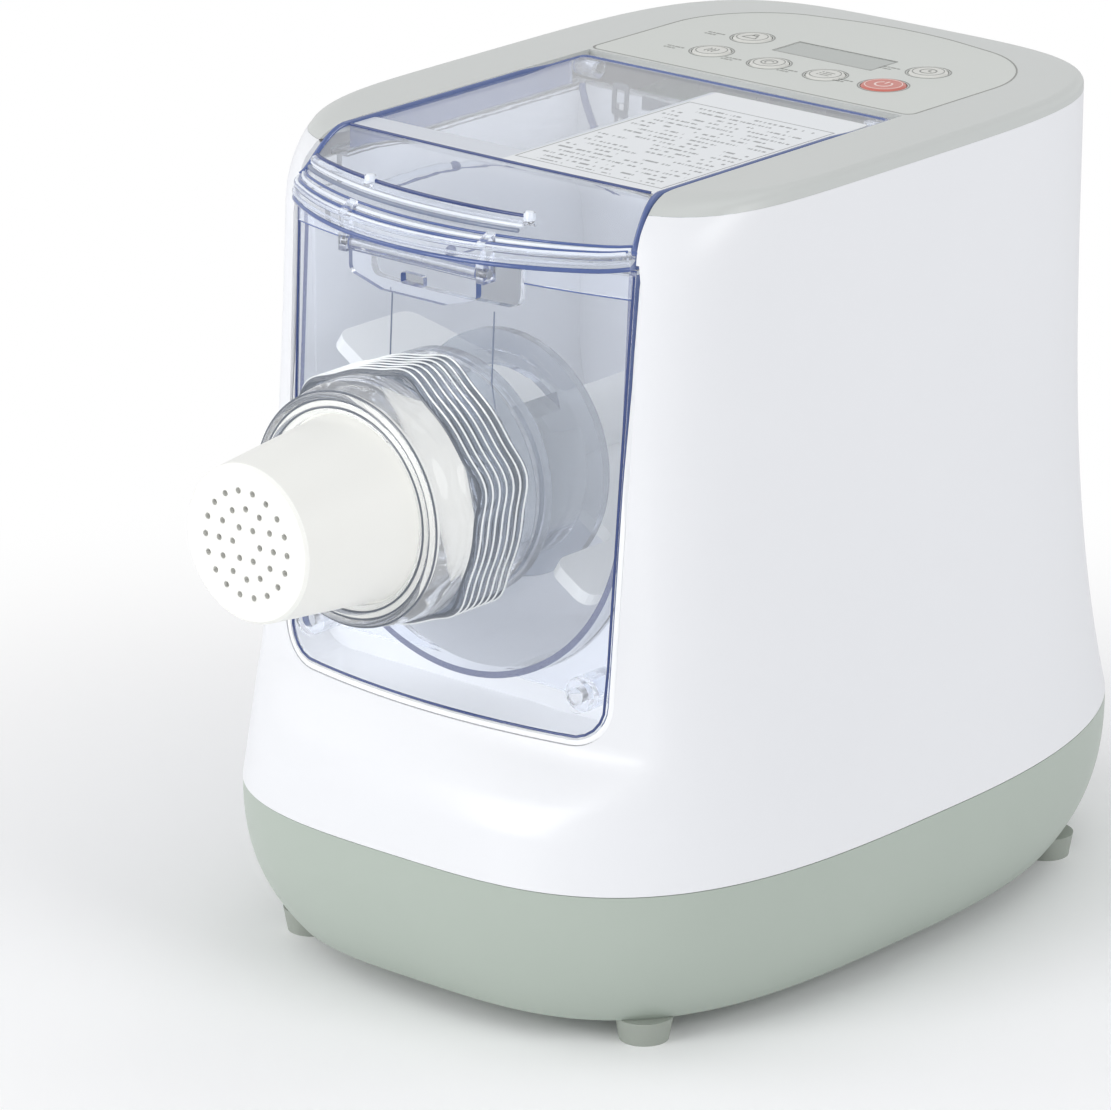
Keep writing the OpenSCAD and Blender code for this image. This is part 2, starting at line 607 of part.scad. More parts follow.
flange_y0 = bay_front_y - trough_wall - fit;
rim_front_y = window_front_y - 1;
trough_nose_z = panel_z1 + 0.4;
module mixing_trough() seat() color(colour_clear) intersection() {
  trough_body();
  // the tub's front edge follows the back of the bowed panel
  bow_cone(-panel_t - fit);
}
module trough_body() difference() {
  union() {
    // U-shaped tub with a deep front rim
    sweep_y(trough_front_y, trough_rear_y) u_shape(trough_r + trough_wall, trough_top_z);
    // front flange with cut-off lower corners
    sweep_y(flange_y0, flange_y0 + trough_wall) polygon(rounded([
      [-trough_r + 3, trough_top_z - 12, 0], [-trough_r + 4, panel_z0 + 8, 6],
      [trough_r - 4, panel_z0 + 8, 6], [trough_r - 3, trough_top_z - 12, 0]], 6));
    // carrying rims along the top
    for (sx = [-1, 1]) block(min(sx * (trough_r - 2.5), sx * (trough_r + 5)),
      max(sx * (trough_r - 2.5), sx * (trough_r + 5)), rim_front_y, trough_rear_y,
      trough_top_z - rim_t, trough_top_z);
  }
  difference() {
    sweep_y(trough_front_y - 1, trough_rear_y - trough_wall) u_shape(trough_r, trough_top_z + 5);
    for (sx = [-1, 1]) block(min(sx * (trough_r - 2.5), sx * (trough_r + 1)),
      max(sx * (trough_r - 2.5), sx * (trough_r + 1)), rim_front_y, trough_rear_y,
      trough_top_z - rim_t, trough_top_z);
  }
  block(-split_half_w, split_half_w, beyond_y, rim_front_y, trough_nose_z, body_h);
  bar_y(shaft_r + 5.1, trough_rear_y - 10, trough_rear_y + 10);
  // openings for the lid sensors in the rear wall
  for (x = [20 - trough_r, 38 - trough_r]) block(x - 2.5, x + 2.5, trough_rear_y - 10,
    trough_rear_y + 10, trough_top_z - 11, trough_top_z - 4);
}

module shaft_seal() seat() color(colour_dark) difference() {
  union() {
    bar_y(shaft_r + 5, trough_rear_y - trough_wall - 0.6, bay_rear_y + bay_rear_t);
    bar_y(shaft_r + 8, trough_rear_y + 0.2, bay_rear_y - 0.2);
  }
  bar_y(shaft_r + run_gap, 0, 50);
}

// --- drive ------------------------------------------------------------------------
out_pitch_r = out_module * out_teeth / 2;
idler_pinion_r = out_module * idler_pinion_teeth / 2;
idler_pitch_r = motor_module * idler_teeth / 2;
motor_pinion_r = motor_module * motor_pinion_teeth / 2;
idler_z = axis_z - out_pitch_r - idler_pinion_r;
motor_z = idler_z - idler_pitch_r - motor_pinion_r;
press_angle = 25;
backlash = 0.12;
idler_pin_r = 4;
motor_shaft_r = 2.5;

// Involute spur gear outline; the first tooth points along +X
function involute(base, a) = base * [cos(a) + a * PI / 180 * sin(a), sin(a) - a * PI / 180 * cos(a)];
function tooth_flank(m, z) =
  let (rp = m * z / 2, rb = rp * cos(press_angle), ra = rp + 0.95 * m,
       r0 = max(rb, rp - 1.2 * m), start = sqrt(pow(r0 / rb, 2) - 1) * 180 / PI,
       roll_p = tan(press_angle) * 180 / PI, tip = sqrt(pow(ra / rb, 2) - 1) * 180 / PI,
       half = (PI * m / 2 - backlash) / rp / 2 * 180 / PI + roll_p - press_angle)
  [for (k = [0:4]) let (p = involute(rb, mix(start, tip, k / 4)), c = cos(-half), s = sin(-half))
    [p.x * c - p.y * s, p.x * s + p.y * c]];
function gear_outline(m, z) =
  let (lower = tooth_flank(m, z), root = m * z / 2 - 1.2 * m, step = 360 / z,
       foot = atan2(lower[0].y, lower[0].x), deep = norm(lower[0]) - root > 0.01)
  [for (i = [0:z - 1]) let (c = cos(i * step), s = sin(i * step))
    each [for (p = concat(deep ? [root * [cos(foot), sin(foot)]] : [], lower,
      [for (k = [4:-1:0]) [lower[k].x, -lower[k].y]],
      deep ? [root * [cos(foot), -sin(foot)]] : []))
      [p.x * c - p.y * s, p.x * s + p.y * c]]];
module gear(m, z, y0, w, cz, turn) translate([0, y0 + w, cz]) rotate([90, 0, 0])
  rotate(turn) linear_extrude(w) polygon(gear_outline(m, z));

// A gap of each upper gear faces straight down, a tooth of each lower one straight up
function gap_down(z) = -90 + 180 / z;
module drive_gear() seat() color(colour_nylon) difference() {
  union() {
    gear(out_module, out_teeth, out_gear_y, out_gear_w, axis_z, gap_down(out_teeth));
    bar_y(shaft_r + 6, out_gear_y - 1, idler_gear_y + idler_gear_w);
  }
  bar_y(shaft_r, out_gear_y - 2, cover_y);
  // lightening pockets
  for (a = [0:60:300]) bar_y(8, out_gear_y - 1, out_gear_y + out_gear_w + 1,
    x = 30 * cos(a), z = axis_z + 30 * sin(a));
}

hex_r = shaft_r * 0.92;
module drive_shaft() seat() color(colour_steel) union() {
  bar_y(shaft_r, hub_rear_y + 1.5, cover_y + gear_cover_t);
  translate([0, hub_rear_y + 2, axis_z]) rotate([90, 0, 0]) cylinder(r = hex_r, h = 52, $fn = 6);
}

module shaft_bush() seat() color(colour_brass) difference() {
  union() {
    bar_y(shaft_r + 3.5, case_y - 1, case_y + case_t + 0.8);
    bar_y(shaft_r + 5.5, case_y - 1.8, case_y);
  }
  bar_y(shaft_r + run_gap, 30, 60);
}

case_half_w = out_pitch_r + 5;
case_low_w = idler_pitch_r + 5;
case_wall = 2.4;
function case_outline(g) = rounded([[-case_half_w - g, axis_z - 20, 20],
  [-case_low_w - g, idler_z - 8, 18], [-case_low_w + 6 - g, motor_z - 20 - g, 20],
  [case_low_w - 6 + g, motor_z - 20 - g, 20], [case_low_w + g, idler_z - 8, 18],
  [case_half_w + g, axis_z - 20, 20], [case_half_w + g, axis_z + case_half_w + g, 34],
  [-case_half_w - g, axis_z + case_half_w + g, 34]], 6);
case_screw_at = [[-case_half_w - 1, axis_z + 20], [case_half_w + 1, axis_z + 20],
  [-case_low_w - 2, idler_z - 24], [case_low_w + 2, idler_z - 24]];

module gearbox_case() seat() color([0.55, 0.57, 0.60]) difference() {
  union() {
    sweep_y(case_y, cover_y) polygon(case_outline(case_wall));
    for (p = case_screw_at) bar_y(4, case_y, cover_y, x = p.x, z = p.y);
    // spacers that stand off the bay's rear wall
    for (sx = [-1, 1], z = [axis_z - 42, axis_z + 30])
      bar_y(4, bay_rear_y + bay_rear_t, case_y + 1, x = sx * 40, z = z);
  }
  sweep_y(case_y + case_t, cover_y + 1) polygon(case_outline(0));
  bar_y(shaft_r + 3.5, 30, 60);
  bar_y(idler_pin_r, case_y + 0.8, 60, z = idler_z);
  for (p = case_screw_at) bar_y(1.5, case_y + 4, cover_y + 1, x = p.x, z = p.y);
}

module gearbox_cover() seat() color([0.50, 0.52, 0.55]) difference() {
  union() {
    sweep_y(cover_y, cover_y + gear_cover_t) polygon(case_outline(case_wall));
    for (p = case_screw_at) bar_y(4, cover_y, cover_y + gear_cover_t, x = p.x, z = p.y);
  }
  bar_y(shaft_r + run_gap, 50, 80);
  bar_y(idler_pin_r, 50, 80, z = idler_z);
  bar_y(8, 50, 80, z = motor_z);
  for (p = case_screw_at) bar_y(1.7, 50, 80, x = p.x, z = p.y);
}

module gearbox_screws() seat() color(colour_steel) for (p = case_screw_at) {
  bar_y(1.45, cover_y - 10, cover_y + gear_cover_t + 1, x = p.x, z = p.y);
  bar_y(2.8, cover_y + gear_cover_t, cover_y + gear_cover_t + 2, x = p.x, z = p.y);
}

idler_gap = 0.5;
module idler_gear() seat() color(colour_nylon) difference() {
  union() {
    gear(out_module, idler_pinion_teeth, out_gear_y - 0.5, idler_gear_y - out_gear_y + 1, idler_z, 90);
    gear(motor_module, idler_teeth, idler_gear_y, idler_gear_w, idler_z, gap_down(idler_teeth));
  }
  bar_y(idler_pin_r + run_gap, 30, 70, z = idler_z);
}

module idler_pin() seat() color(colour_steel)
  bar_y(idler_pin_r, case_y + 1, cover_y + gear_cover_t, z = idler_z);

module motor_pinion() seat() color(colour_brass) union() {
  gear(motor_module, motor_pinion_teeth, idler_gear_y - 0.5, idler_gear_w + 1, motor_z, 90);
  bar_y(motor_shaft_r, idler_gear_y, fan_y + 9, z = motor_z);
}

module motor_can() seat() color([0.48, 0.50, 0.52]) difference() {
  union() {
    bar_y(motor_r, motor_y, motor_y + motor_len, z = motor_z);
    bar_y(7.8, motor_y - 2.5, motor_y, z = motor_z);
    bar_y(9, motor_y + motor_len, motor_y + motor_len + 3, z = motor_z);
    // foot that stands on the base tray
    block(-22, 22, motor_y + 10, motor_y + motor_len - 10, tray_z + tray_wall, motor_z - motor_r + 8);
  }
  bar_y(motor_shaft_r + run_gap, motor_y - 5, motor_y + motor_len + 5, z = motor_z);
  block(-16, 16, motor_y + 5, motor_y + motor_len, tray_z + tray_wall + 5, motor_z - motor_r - 4);
}

fan_r = 24;
module cooling_fan() seat() color(colour_dark) difference() {
  union() {
    bar_y(8, fan_y, fan_y + 8, z = motor_z);
    for (a = [0:45:315]) translate([0, fan_y + 4, motor_z]) rotate([0, a, 0])
      translate([7, 0, 0]) rotate([38, 0, 0]) translate([0, -4, -0.8]) cube([fan_r - 7, 8, 1.6]);
  }
  bar_y(motor_shaft_r, fan_y - 1, fan_y + 12, z = motor_z);
}

board_z = tray_z + tray_wall + 8;
power_x = screw_x - 24;
module power_board() seat() color(colour_board) union() {
  block(power_x - 25, power_x + 25, -20, 60, board_z, board_z + board_t);
  for (x = [power_x - 19, power_x + 19], y = [-14, 54])
    translate([x, y, 0]) cylinder_from(3, tray_z + tray_wall, board_z);
}
module power_parts() seat() color(colour_dark) {
  translate([power_x - 11, 34, 0]) cylinder_from(9, board_z + board_t, board_z + 24);
  block(power_x, power_x + 21, 20, 48, board_z + board_t, board_z + 20);
  block(power_x - 17, power_x + 15, -12, 6, board_z + board_t, board_z + 12);
}

// --- paddle and screw ----------------------------------------------------------------
hub_r = 13;
module mixing_paddle() seat() color([0.90, 0.91, 0.93]) difference() {
  union() {
    bar_y(hub_r, blade_front_y, hub_rear_y);
    translate([0, 0, axis_z]) rotate([0, -paddle_angle, 0]) translate([0, 0, -paddle_t / 2])
      linear_extrude(paddle_t) polygon(paddle_profile);
  }
  translate([0, hub_rear_y + 1, axis_z]) rotate([90, 0, 0])
    cylinder(r = hex_r + 0.1, h = 53, $fn = 6);
  // socket for the screw's tang
  bar_y(tang_r, blade_front_y - 1, blade_front_y + 12);
}
function wing(s) = [[s * paddle_tip_r, blade_front_y + 0.5, 4], [s * paddle_tip_r, tip_front_y, 5],
  [s * paddle_r, tip_front_y, 5], [s * paddle_r, tip_rear_y, 8], [s * 32, blade_rear_y, 10]];
paddle_profile = rounded(concat([[0, blade_front_y + 0.5, 0]], wing(1), [[8, blade_rear_y + 14, 3]],
  [[-8, blade_rear_y + 14, 3]], [for (k = [4:-1:0]) wing(-1)[k]]), 4);

tang_r = 6;
screw_len = blade_front_y - barrel_front_y - 2;
blade_half = 24;
screw_section = concat([for (a = [blade_half + 12:24:360 - blade_half - 12]) core_r * [cos(a), sin(a)]],
  [for (a = [-blade_half:16:blade_half]) flight_r * [cos(a), sin(a)]]);
module screw_auger() seat() color([0.92, 0.93, 0.94]) union() {
  translate([0, blade_front_y - fit / 3, axis_z]) rotate([90, 0, 0])
    linear_extrude(screw_len, twist = 360 * screw_len / screw_pitch, slices = 36)
    polygon(screw_section);
  bar_y(tang_r - 0.1, blade_front_y - 2, blade_front_y + 11);
}

// --- clear front panel and barrel ------------------------------------------------------
bow_y = 150;                 // the panel bows about an upright axis behind the machine
notch_half_w = catch_w / 2 + 4.5;
notch_z = panel_z1 - 17.5;
module cone_sheet(r_top, t) rotate([0, 0, 250]) rotate_extrude(angle = 40, $fn = 360) polygon([
  [r_top + panel_lean * (panel_z1 - panel_z0 + 5), panel_z0 - 5],
  [r_top + panel_lean * (panel_z1 - panel_z0 + 5) - t, panel_z0 - 5],
  [r_top - panel_lean - t, panel_z1 + 1], [r_top - panel_lean, panel_z1 + 1]]);

boss_r = 43;
boss_out_r = 6;              // corner bosses
boss_x = trough_r - 10;
boss_z = panel_z0 + 15;
module front_panel() seat() color(colour_clear) difference() {
  union() {
    intersection() {
      translate([0, bow_y, 0]) cone_sheet(panel_bow_r, panel_t);
      sweep_y(beyond_y, -60) polygon(panel_outline(0, panel_z1));
    }
    bar_y(boss_r, boss_front_y, collar_front_y - fit / 3);
    // corner bosses that plug on the trough's flange
    for (sx = [-1, 1]) bar_y(boss_out_r, collar_front_y - 5, flange_y0 - fit, x = sx * boss_x, z = boss_z);
  }
  bar_y(barrel_r + fit, barrel_front_y, bay_front_y);
  for (sx = [-1, 1]) bar_y(boss_out_r / 2, barrel_front_y, flange_y0 - 3, x = sx * boss_x, z = boss_z);
  // notch that lets the lid's catch pass
  sweep_y(beyond_y, -60) polygon(rounded([[-notch_half_w, panel_z1 + 5, 0], [-notch_half_w, notch_z, 4],
    [notch_half_w, notch_z, 4], [notch_half_w, panel_z1 + 5, 0]], 5));
}

window_y0 = -117;
window_y1 = -95;
module extrusion_barrel() seat() color(colour_clear) difference() {
  union() {
    bar_y(barrel_r, barrel_front_y, barrel_rear_y);
    bar_y(boss_r, collar_front_y, collar_front_y + collar_t);
    bar_y(boss_r, barrel_rear_y - 3.5, barrel_rear_y);
  }
  bar_y(barrel_bore_r, barrel_front_y - 1, barrel_rear_y + 1);
  // dough inlet
  block(-24, 24, window_y0, window_y1, axis_z + 18, axis_z + 60);
}

// --- die and lock nut -----------------------------------------------------------------
die_flange_r = barrel_r + 1;
die_wall = 3;
die_face_t = 6;
hole_rings = [[6, 6], [12, 12], [18, 18]];
module noodle_die() seat() color([0.95, 0.95, 0.94]) difference() {
  union() {
    bar_y(die_flange_r, die_seat_y + fit / 3, barrel_front_y - fit);
    cone_y(die_front_r, die_neck_r, die_front_y + 1, die_seat_y + 1);
    cone_y(die_front_r - 1, die_front_r, die_front_y, die_front_y + 1);
  }
  cone_y(die_front_r - die_wall, die_neck_r - die_wall, die_front_y + die_face_t, die_seat_y + 1);
  bar_y(die_neck_r - die_wall, die_seat_y + 0.9, barrel_front_y + 1);
  for (ring = hole_rings, k = [0:ring[1] - 1]) let (a = 360 * k / ring[1])
    bar_y(die_hole_r, die_front_y - 1, die_front_y + die_face_t + 1,
      x = ring[0] * cos(a), z = axis_z + ring[0] * sin(a));
}

grip_turn = 15;
function nut_outline(r) = [for (k = [0:71]) let (a = 5 * k,
  q = r + grip_h * pow(0.5 + 0.5 * cos(grip_count * (a - grip_turn)), 3)) q * [cos(a), sin(a)]];
nut_body_front_y = -158;
rib_pitch = (nut_body_front_y - nut_rear_y) / rib_count;
module lock_nut() seat() color(colour_clear) difference() {
  union() {
    // ribs round the gripped part
    translate([0, 0, axis_z]) for (k = [0:rib_count - 1]) {
      sweep_y(nut_rear_y + (k + 0.55) * rib_pitch, nut_rear_y + k * rib_pitch)
        polygon(nut_outline(nut_r));
      sweep_y(nut_rear_y + (k + 1) * rib_pitch, nut_rear_y + (k + 0.55) * rib_pitch)
        polygon(nut_outline(nut_r - 1.3));
    }
    // smooth nose that rounds over to the front lip
    translate([0, 0, axis_z]) rotate([90, 0, 0]) rotate_extrude() polygon(nose_profile);
  }
  bar_y(barrel_r + fit, barrel_front_y + fit, nut_rear_y + 1);
  bar_y(die_flange_r + fit, die_seat_y, barrel_front_y + fit + eps);
  bar_y(die_neck_r + 0.5, nut_front_y - 1, die_seat_y + 1);
}
lip_r = 36.4;
nose_len = nut_body_front_y - nut_front_y;
nose_profile = concat([[0, -nut_rear_y], [nut_r - 2.5, -nut_rear_y], [nut_r - 1.2, -nut_body_front_y]],
  [for (a = [0:15:75]) [mix(lip_r + 1.6, nut_r - 1.2, cos(a)), -nut_body_front_y + (nose_len - 3) * sin(a)]],
  [[lip_r + 1.6, -nut_front_y - 2.5], [lip_r + 1.2, -nut_front_y - 0.8], [lip_r, -nut_front_y],
   [0, -nut_front_y]]);

// --- lid ------------------------------------------------------------------------------
lip_half_w = panel_top_w;
lip_end_y = -119;
lip_top_z = body_h - 16;
lip_low_z = lip_top_z - 5.4;
visor_cols = 24;
visor_rows = 10;
visor_root = -0.06;  // the visor starts this far inside the flat sheet
lip_r_plan = (pow(lip_half_w, 2) + pow(lip_bow, 2)) / (2 * lip_bow);
lip_corner_w = 9;
lip_corner_d = 8;
function corner_share(x) = min(1, max(0, (abs(x) - lip_half_w + lip_corner_w) / lip_corner_w));
// The lip follows an arc and turns back round a corner at each end
function lip_y(x) = lip_end_y - lip_bow + lip_r_plan - sqrt(pow(lip_r_plan, 2) - pow(x, 2))
  + lip_corner_d * (1 - sqrt(1 - pow(corner_share(x), 2)));
function crest_y(x) = window_front_y - 1.5 * (1 - pow(x / lip_half_w, 2));
// Ogee from the flat of the lid down to the lip; u runs across, v runs down
function visor_top(u, v) =
  let (w = mix(lid_half_w, lip_half_w, v), x = w * u)
  [x, mix(crest_y(x), lip_y(x), v), mix(lip_top_z, lid_top_z, (1 + cos(180 * max(0, v))) / 2)];
function visor_low(u, v) = let (p = visor_top(u, v))
  [p.x, p.y + lid_t * 0.7 * sin(180 * max(0, v)), p.z - lid_t];
// Rings run round the lip's section: over the top, down the lip and back beneath
function visor_ring(u) = concat([visor_top(u, visor_root)],
  [for (k = [0:visor_rows]) visor_top(u, k / visor_rows)],
  [[visor_top(u, 1).x, visor_top(u, 1).y, lip_low_z],
   [visor_top(u, 1).x, visor_top(u, 1).y + lid_t, lip_low_z]],
  [for (k = [visor_rows - 1:-1:0]) visor_low(u, k / visor_rows)], [visor_low(u, visor_root)]);
// The end faces follow the taper of the visor, so each is a strip of quads
module visor() {
  n = 2 * visor_rows + 5;
  pts = [for (k = [0:visor_cols]) each visor_ring(sin(90 * (2 * k / visor_cols - 1)))];
  far = visor_cols * n;
  polyhedron(points = pts, faces = concat(
    [for (k = [0:visor_cols - 1], i = [0:n - 1]) let (j = (i + 1) % n)
      [k * n + i, (k + 1) * n + i, (k + 1) * n + j, k * n + j]],
    [for (i = [0:visor_rows + 1]) i == visor_rows + 1 ? [i, i + 1, i + 2]
      : [i, i + 1, n - 2 - i, n - 1 - i]],
    [for (i = [0:visor_rows + 1]) i == visor_rows + 1 ? [far + i + 2, far + i + 1, far + i]
      : [far + n - 1 - i, far + n - 2 - i, far + i + 1, far + i]]));
}

hinge_y = 25.4;
hinge_z = body_h - 5.6;
pin_r = 2;
ear_r = 3.6;
ear_x0 = lid_half_w - 9;
catch_x = catch_w / 2;
catch_y = -138.5;
catch_z = lip_low_z - 4.1;
catch_pin_r = 1.5;
module lid() seat() color(colour_clear) difference() {
  union() {
    translate([0, 0, lid_low_z]) linear_extrude(lid_t) polygon(rounded([
      [-lid_half_w, window_front_y - 0.2, 0], [lid_half_w, window_front_y - 0.2, 0],
      [lid_half_w, lid_rear_y, 3], [-lid_half_w, lid_rear_y, 3]], 4));
    visor();
    // side walls that rest on the trough's rims
    for (sx = [-1, 1]) block(min(sx * lid_half_w, sx * (lid_half_w - 1.8)),
      max(sx * lid_half_w, sx * (lid_half_w - 1.8)), -94, hinge_y - 6,
      trough_top_z + fit / 3, lid_low_z + 1);
    for (sx = [-1, 1]) bar_x(ear_r, sx * ear_x0, sx * lid_half_w, hinge_y, hinge_z);
    // lugs that carry the catch
    for (sx = [-1, 1]) translate([sx * (catch_x + 2.2), 0, 0]) rotate([90, 0, 90])
      translate([0, 0, -1.7]) linear_extrude(3.4) polygon([[catch_y - 3, catch_z - 3],
        [catch_y + 3, catch_z - 3], [catch_y + 3, lip_top_z + 4], [catch_y - 3, lip_top_z + 1]]);
    // fixing posts on the visor
    for (sx = [-1, 1]) translate([sx * (catch_x + 7), lip_end_y - 3, 0])
      cylinder_from(2, lip_top_z + 3, lid_top_z - 6.5);
  }
  for (sx = [-1, 1]) bar_x(pin_r + run_gap, sx * (ear_x0 - 1), sx * (lid_half_w + 1), hinge_y, hinge_z);
  bar_x(catch_pin_r, -catch_x - 6, catch_x + 6, catch_y, catch_z);
}

module recipe_sheet() seat() color([0.93, 0.94, 0.95]) translate([0, 0, lid_top_z])
  linear_extrude(0.3) polygon(rounded([[lid_half_w - sheet_w, window_front_y + 12, 1],
    [lid_half_w - sheet_w, lid_rear_y - 12, 2], [lid_half_w - 2, lid_rear_y - 12, 2],
    [lid_half_w - 2, window_front_y, 2], [-lid_half_w + 2, window_front_y, 2],
    [-lid_half_w + 2, window_front_y + 12, 1]], 4));

module hinge_pins() seat() color(colour_steel) for (sx = [-1, 1])
  bar_x(pin_r, sx * (ear_x0 - 0.5), sx * (lid_half_w + 7), hinge_y, hinge_z);

module catch_pin() seat() color(colour_steel)
  bar_x(catch_pin_r, -catch_x - 3.6, catch_x + 3.6, catch_y, catch_z);

catch_low_z = catch_z - 13.5;
module lid_catch() seat() color(colour_clear) difference() {
  union() {
    bar_x(3, -catch_x, catch_x, catch_y, catch_z);
    sweep_y(catch_y - 2.2, catch_y + 0.4) polygon(rounded([[-catch_x, catch_z, 0],
      [-catch_x, catch_low_z + 4, 3], [-catch_x + 14, catch_low_z, 4], [catch_x - 14, catch_low_z, 4],
      [catch_x, catch_low_z + 4, 3], [catch_x, catch_z, 0]], 5));
  }
  bar_x(catch_pin_r + run_gap, -catch_x - 1, catch_x + 1, catch_y, catch_z);
  sweep_y(catch_y - 5, catch_y + 5) polygon(rounded([[-5, catch_low_z + 4, 1],
    [5, catch_low_z + 4, 1], [5, catch_low_z + 8, 1], [-5, catch_low_z + 8, 1]], 3));
}

base_tray();
rubber_feet();
base_screws();
power_inlet();
inlet_pins();
body_housing();
top_cover();
control_inlay();
display_window();
display_module();
control_board();
tact_switches();
start_button();
noodle_button();
knead_button();
menu_button();
weight_button();
time_button();
mixing_bay();
mixing_trough();
shaft_seal();
shaft_bush();
gearbox_case();
gearbox_cover();
gearbox_screws();
drive_gear();
drive_shaft();
idler_gear();
idler_pin();
motor_pinion();
motor_can();
cooling_fan();
power_board();
power_parts();
mixing_paddle();
screw_auger();
front_panel();
extrusion_barrel();
noodle_die();
lock_nut();
lid();
recipe_sheet();
hinge_pins();
lid_catch();
catch_pin();
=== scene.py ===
import math

import bmesh
import bpy
from mathutils import Matrix, Vector


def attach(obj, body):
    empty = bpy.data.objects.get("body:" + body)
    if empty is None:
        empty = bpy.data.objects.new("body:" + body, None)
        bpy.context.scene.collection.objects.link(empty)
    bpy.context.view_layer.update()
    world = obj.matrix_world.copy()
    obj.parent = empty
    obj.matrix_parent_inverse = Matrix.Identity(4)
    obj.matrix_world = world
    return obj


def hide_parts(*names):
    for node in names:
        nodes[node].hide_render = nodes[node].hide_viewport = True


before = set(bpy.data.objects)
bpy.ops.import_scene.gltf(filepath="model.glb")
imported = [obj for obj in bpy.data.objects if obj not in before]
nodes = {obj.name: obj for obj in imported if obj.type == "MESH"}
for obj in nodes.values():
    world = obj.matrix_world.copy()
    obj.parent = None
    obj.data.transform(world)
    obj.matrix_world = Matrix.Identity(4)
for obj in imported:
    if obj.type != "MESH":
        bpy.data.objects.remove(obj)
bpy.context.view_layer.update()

set_back = 0.023          # how far the section centre of the sources lies behind the frame's origin

# --- Table and lamps ---
# A pale table top under the machine, white further out and clear from below, in a
# white surround; a long lens, and four broad soft lamps: front, left, right and above.
scene = bpy.context.scene
scene.view_settings.view_transform = "Standard"


def add(tree, kind, operation=None):
    """A shader node of the given kind, with its operation where it has one."""
    node = tree.nodes.new("ShaderNode" + kind)
    if operation:
        node.operation = operation
    return node


def join(tree, *pairs):
    """Links outputs to inputs, given in pairs."""
    for output, taken in pairs:
        tree.links.new(output, taken)


surround = bpy.data.worlds.new("surround")
scene.world = surround
surround.use_nodes = True
sky = surround.node_tree
sky.nodes.clear()
sky_soft, sky_white = add(sky, "Background"), add(sky, "Background")
sky_soft.inputs["Color"].default_value = (0.975, 0.985, 1.0, 1)
sky_soft.inputs["Strength"].default_value = 0.50
sky_white.inputs["Color"].default_value = (1, 1, 1, 1)
sky_white.inputs["Strength"].default_value = 1.0
sky_path, sky_mix = add(sky, "LightPath"), add(sky, "MixShader")
sky_seen, sky_clear = add(sky, "Math", "MAXIMUM"), add(sky, "Math", "MAXIMUM")
join(sky, (sky_path.outputs["Is Camera Ray"], sky_seen.inputs[0]),
     (sky_path.outputs["Is Glossy Ray"], sky_seen.inputs[1]),
     (sky_seen.outputs[0], sky_clear.inputs[0]),
     (sky_path.outputs["Is Transmission Ray"], sky_clear.inputs[1]),
     (sky_clear.outputs[0], sky_mix.inputs["Fac"]),
     (sky_soft.outputs[0], sky_mix.inputs[1]),
     (sky_white.outputs[0], sky_mix.inputs[2]),
     (sky_mix.outputs[0], add(sky, "OutputWorld").inputs["Surface"]))


def aim(item, place, target):
    """Puts a lamp or the camera at a place and turns it to the target."""
    item.location = place
    item.rotation_euler = (Vector(target) - Vector(place)).to_track_quat("-Z", "Y").to_euler()


def soft_lamp(name, place, size, power):
    """A broad round lamp turned to the middle of the machine."""
    data = bpy.data.lights.new(name, "AREA")
    data.shape = "DISK"
    data.size = size
    data.energy = power
    lamp = bpy.data.objects.new(name, data)
    scene.collection.objects.link(lamp)
    aim(lamp, place, (0, 0, 0.15))


soft_lamp("lamp_front", (-0.55, -2.25, 0.9), 1.4, 25)
soft_lamp("lamp_left", (-1.7, -0.9, 1.4), 1.3, 7)
soft_lamp("lamp_right", (2.1, 0.1, 1.1), 1.4, 16)
soft_lamp("lamp_top", (0.2, 0.6, 2.0), 1.4, 5)

camera_data = bpy.data.cameras.new("camera")
camera_data.lens = 218.2
camera_data.sensor_width = 36
camera_data.clip_end = 50
camera = bpy.data.objects.new("camera", camera_data)
scene.collection.objects.link(camera)
aim(camera, (1.4196, -1.7015, 0.8823), (0, -0.0452, 0.1439))
scene.camera = camera


def tone(r, g, b):
    """A colour given as it is seen on screen, 0 to 255."""
    return tuple(((c / 255 + 0.055) / 1.055) ** 2.4 if c > 10.3 else c / 3294.6
                 for c in (r, g, b)) + (1.0,)


def new_material(name):
    """A material with its node tree and its main shader."""
    mat = bpy.data.materials.new(name)
    mat.use_nodes = True
    return mat, mat.node_tree, mat.node_tree.nodes["Principled BSDF"]


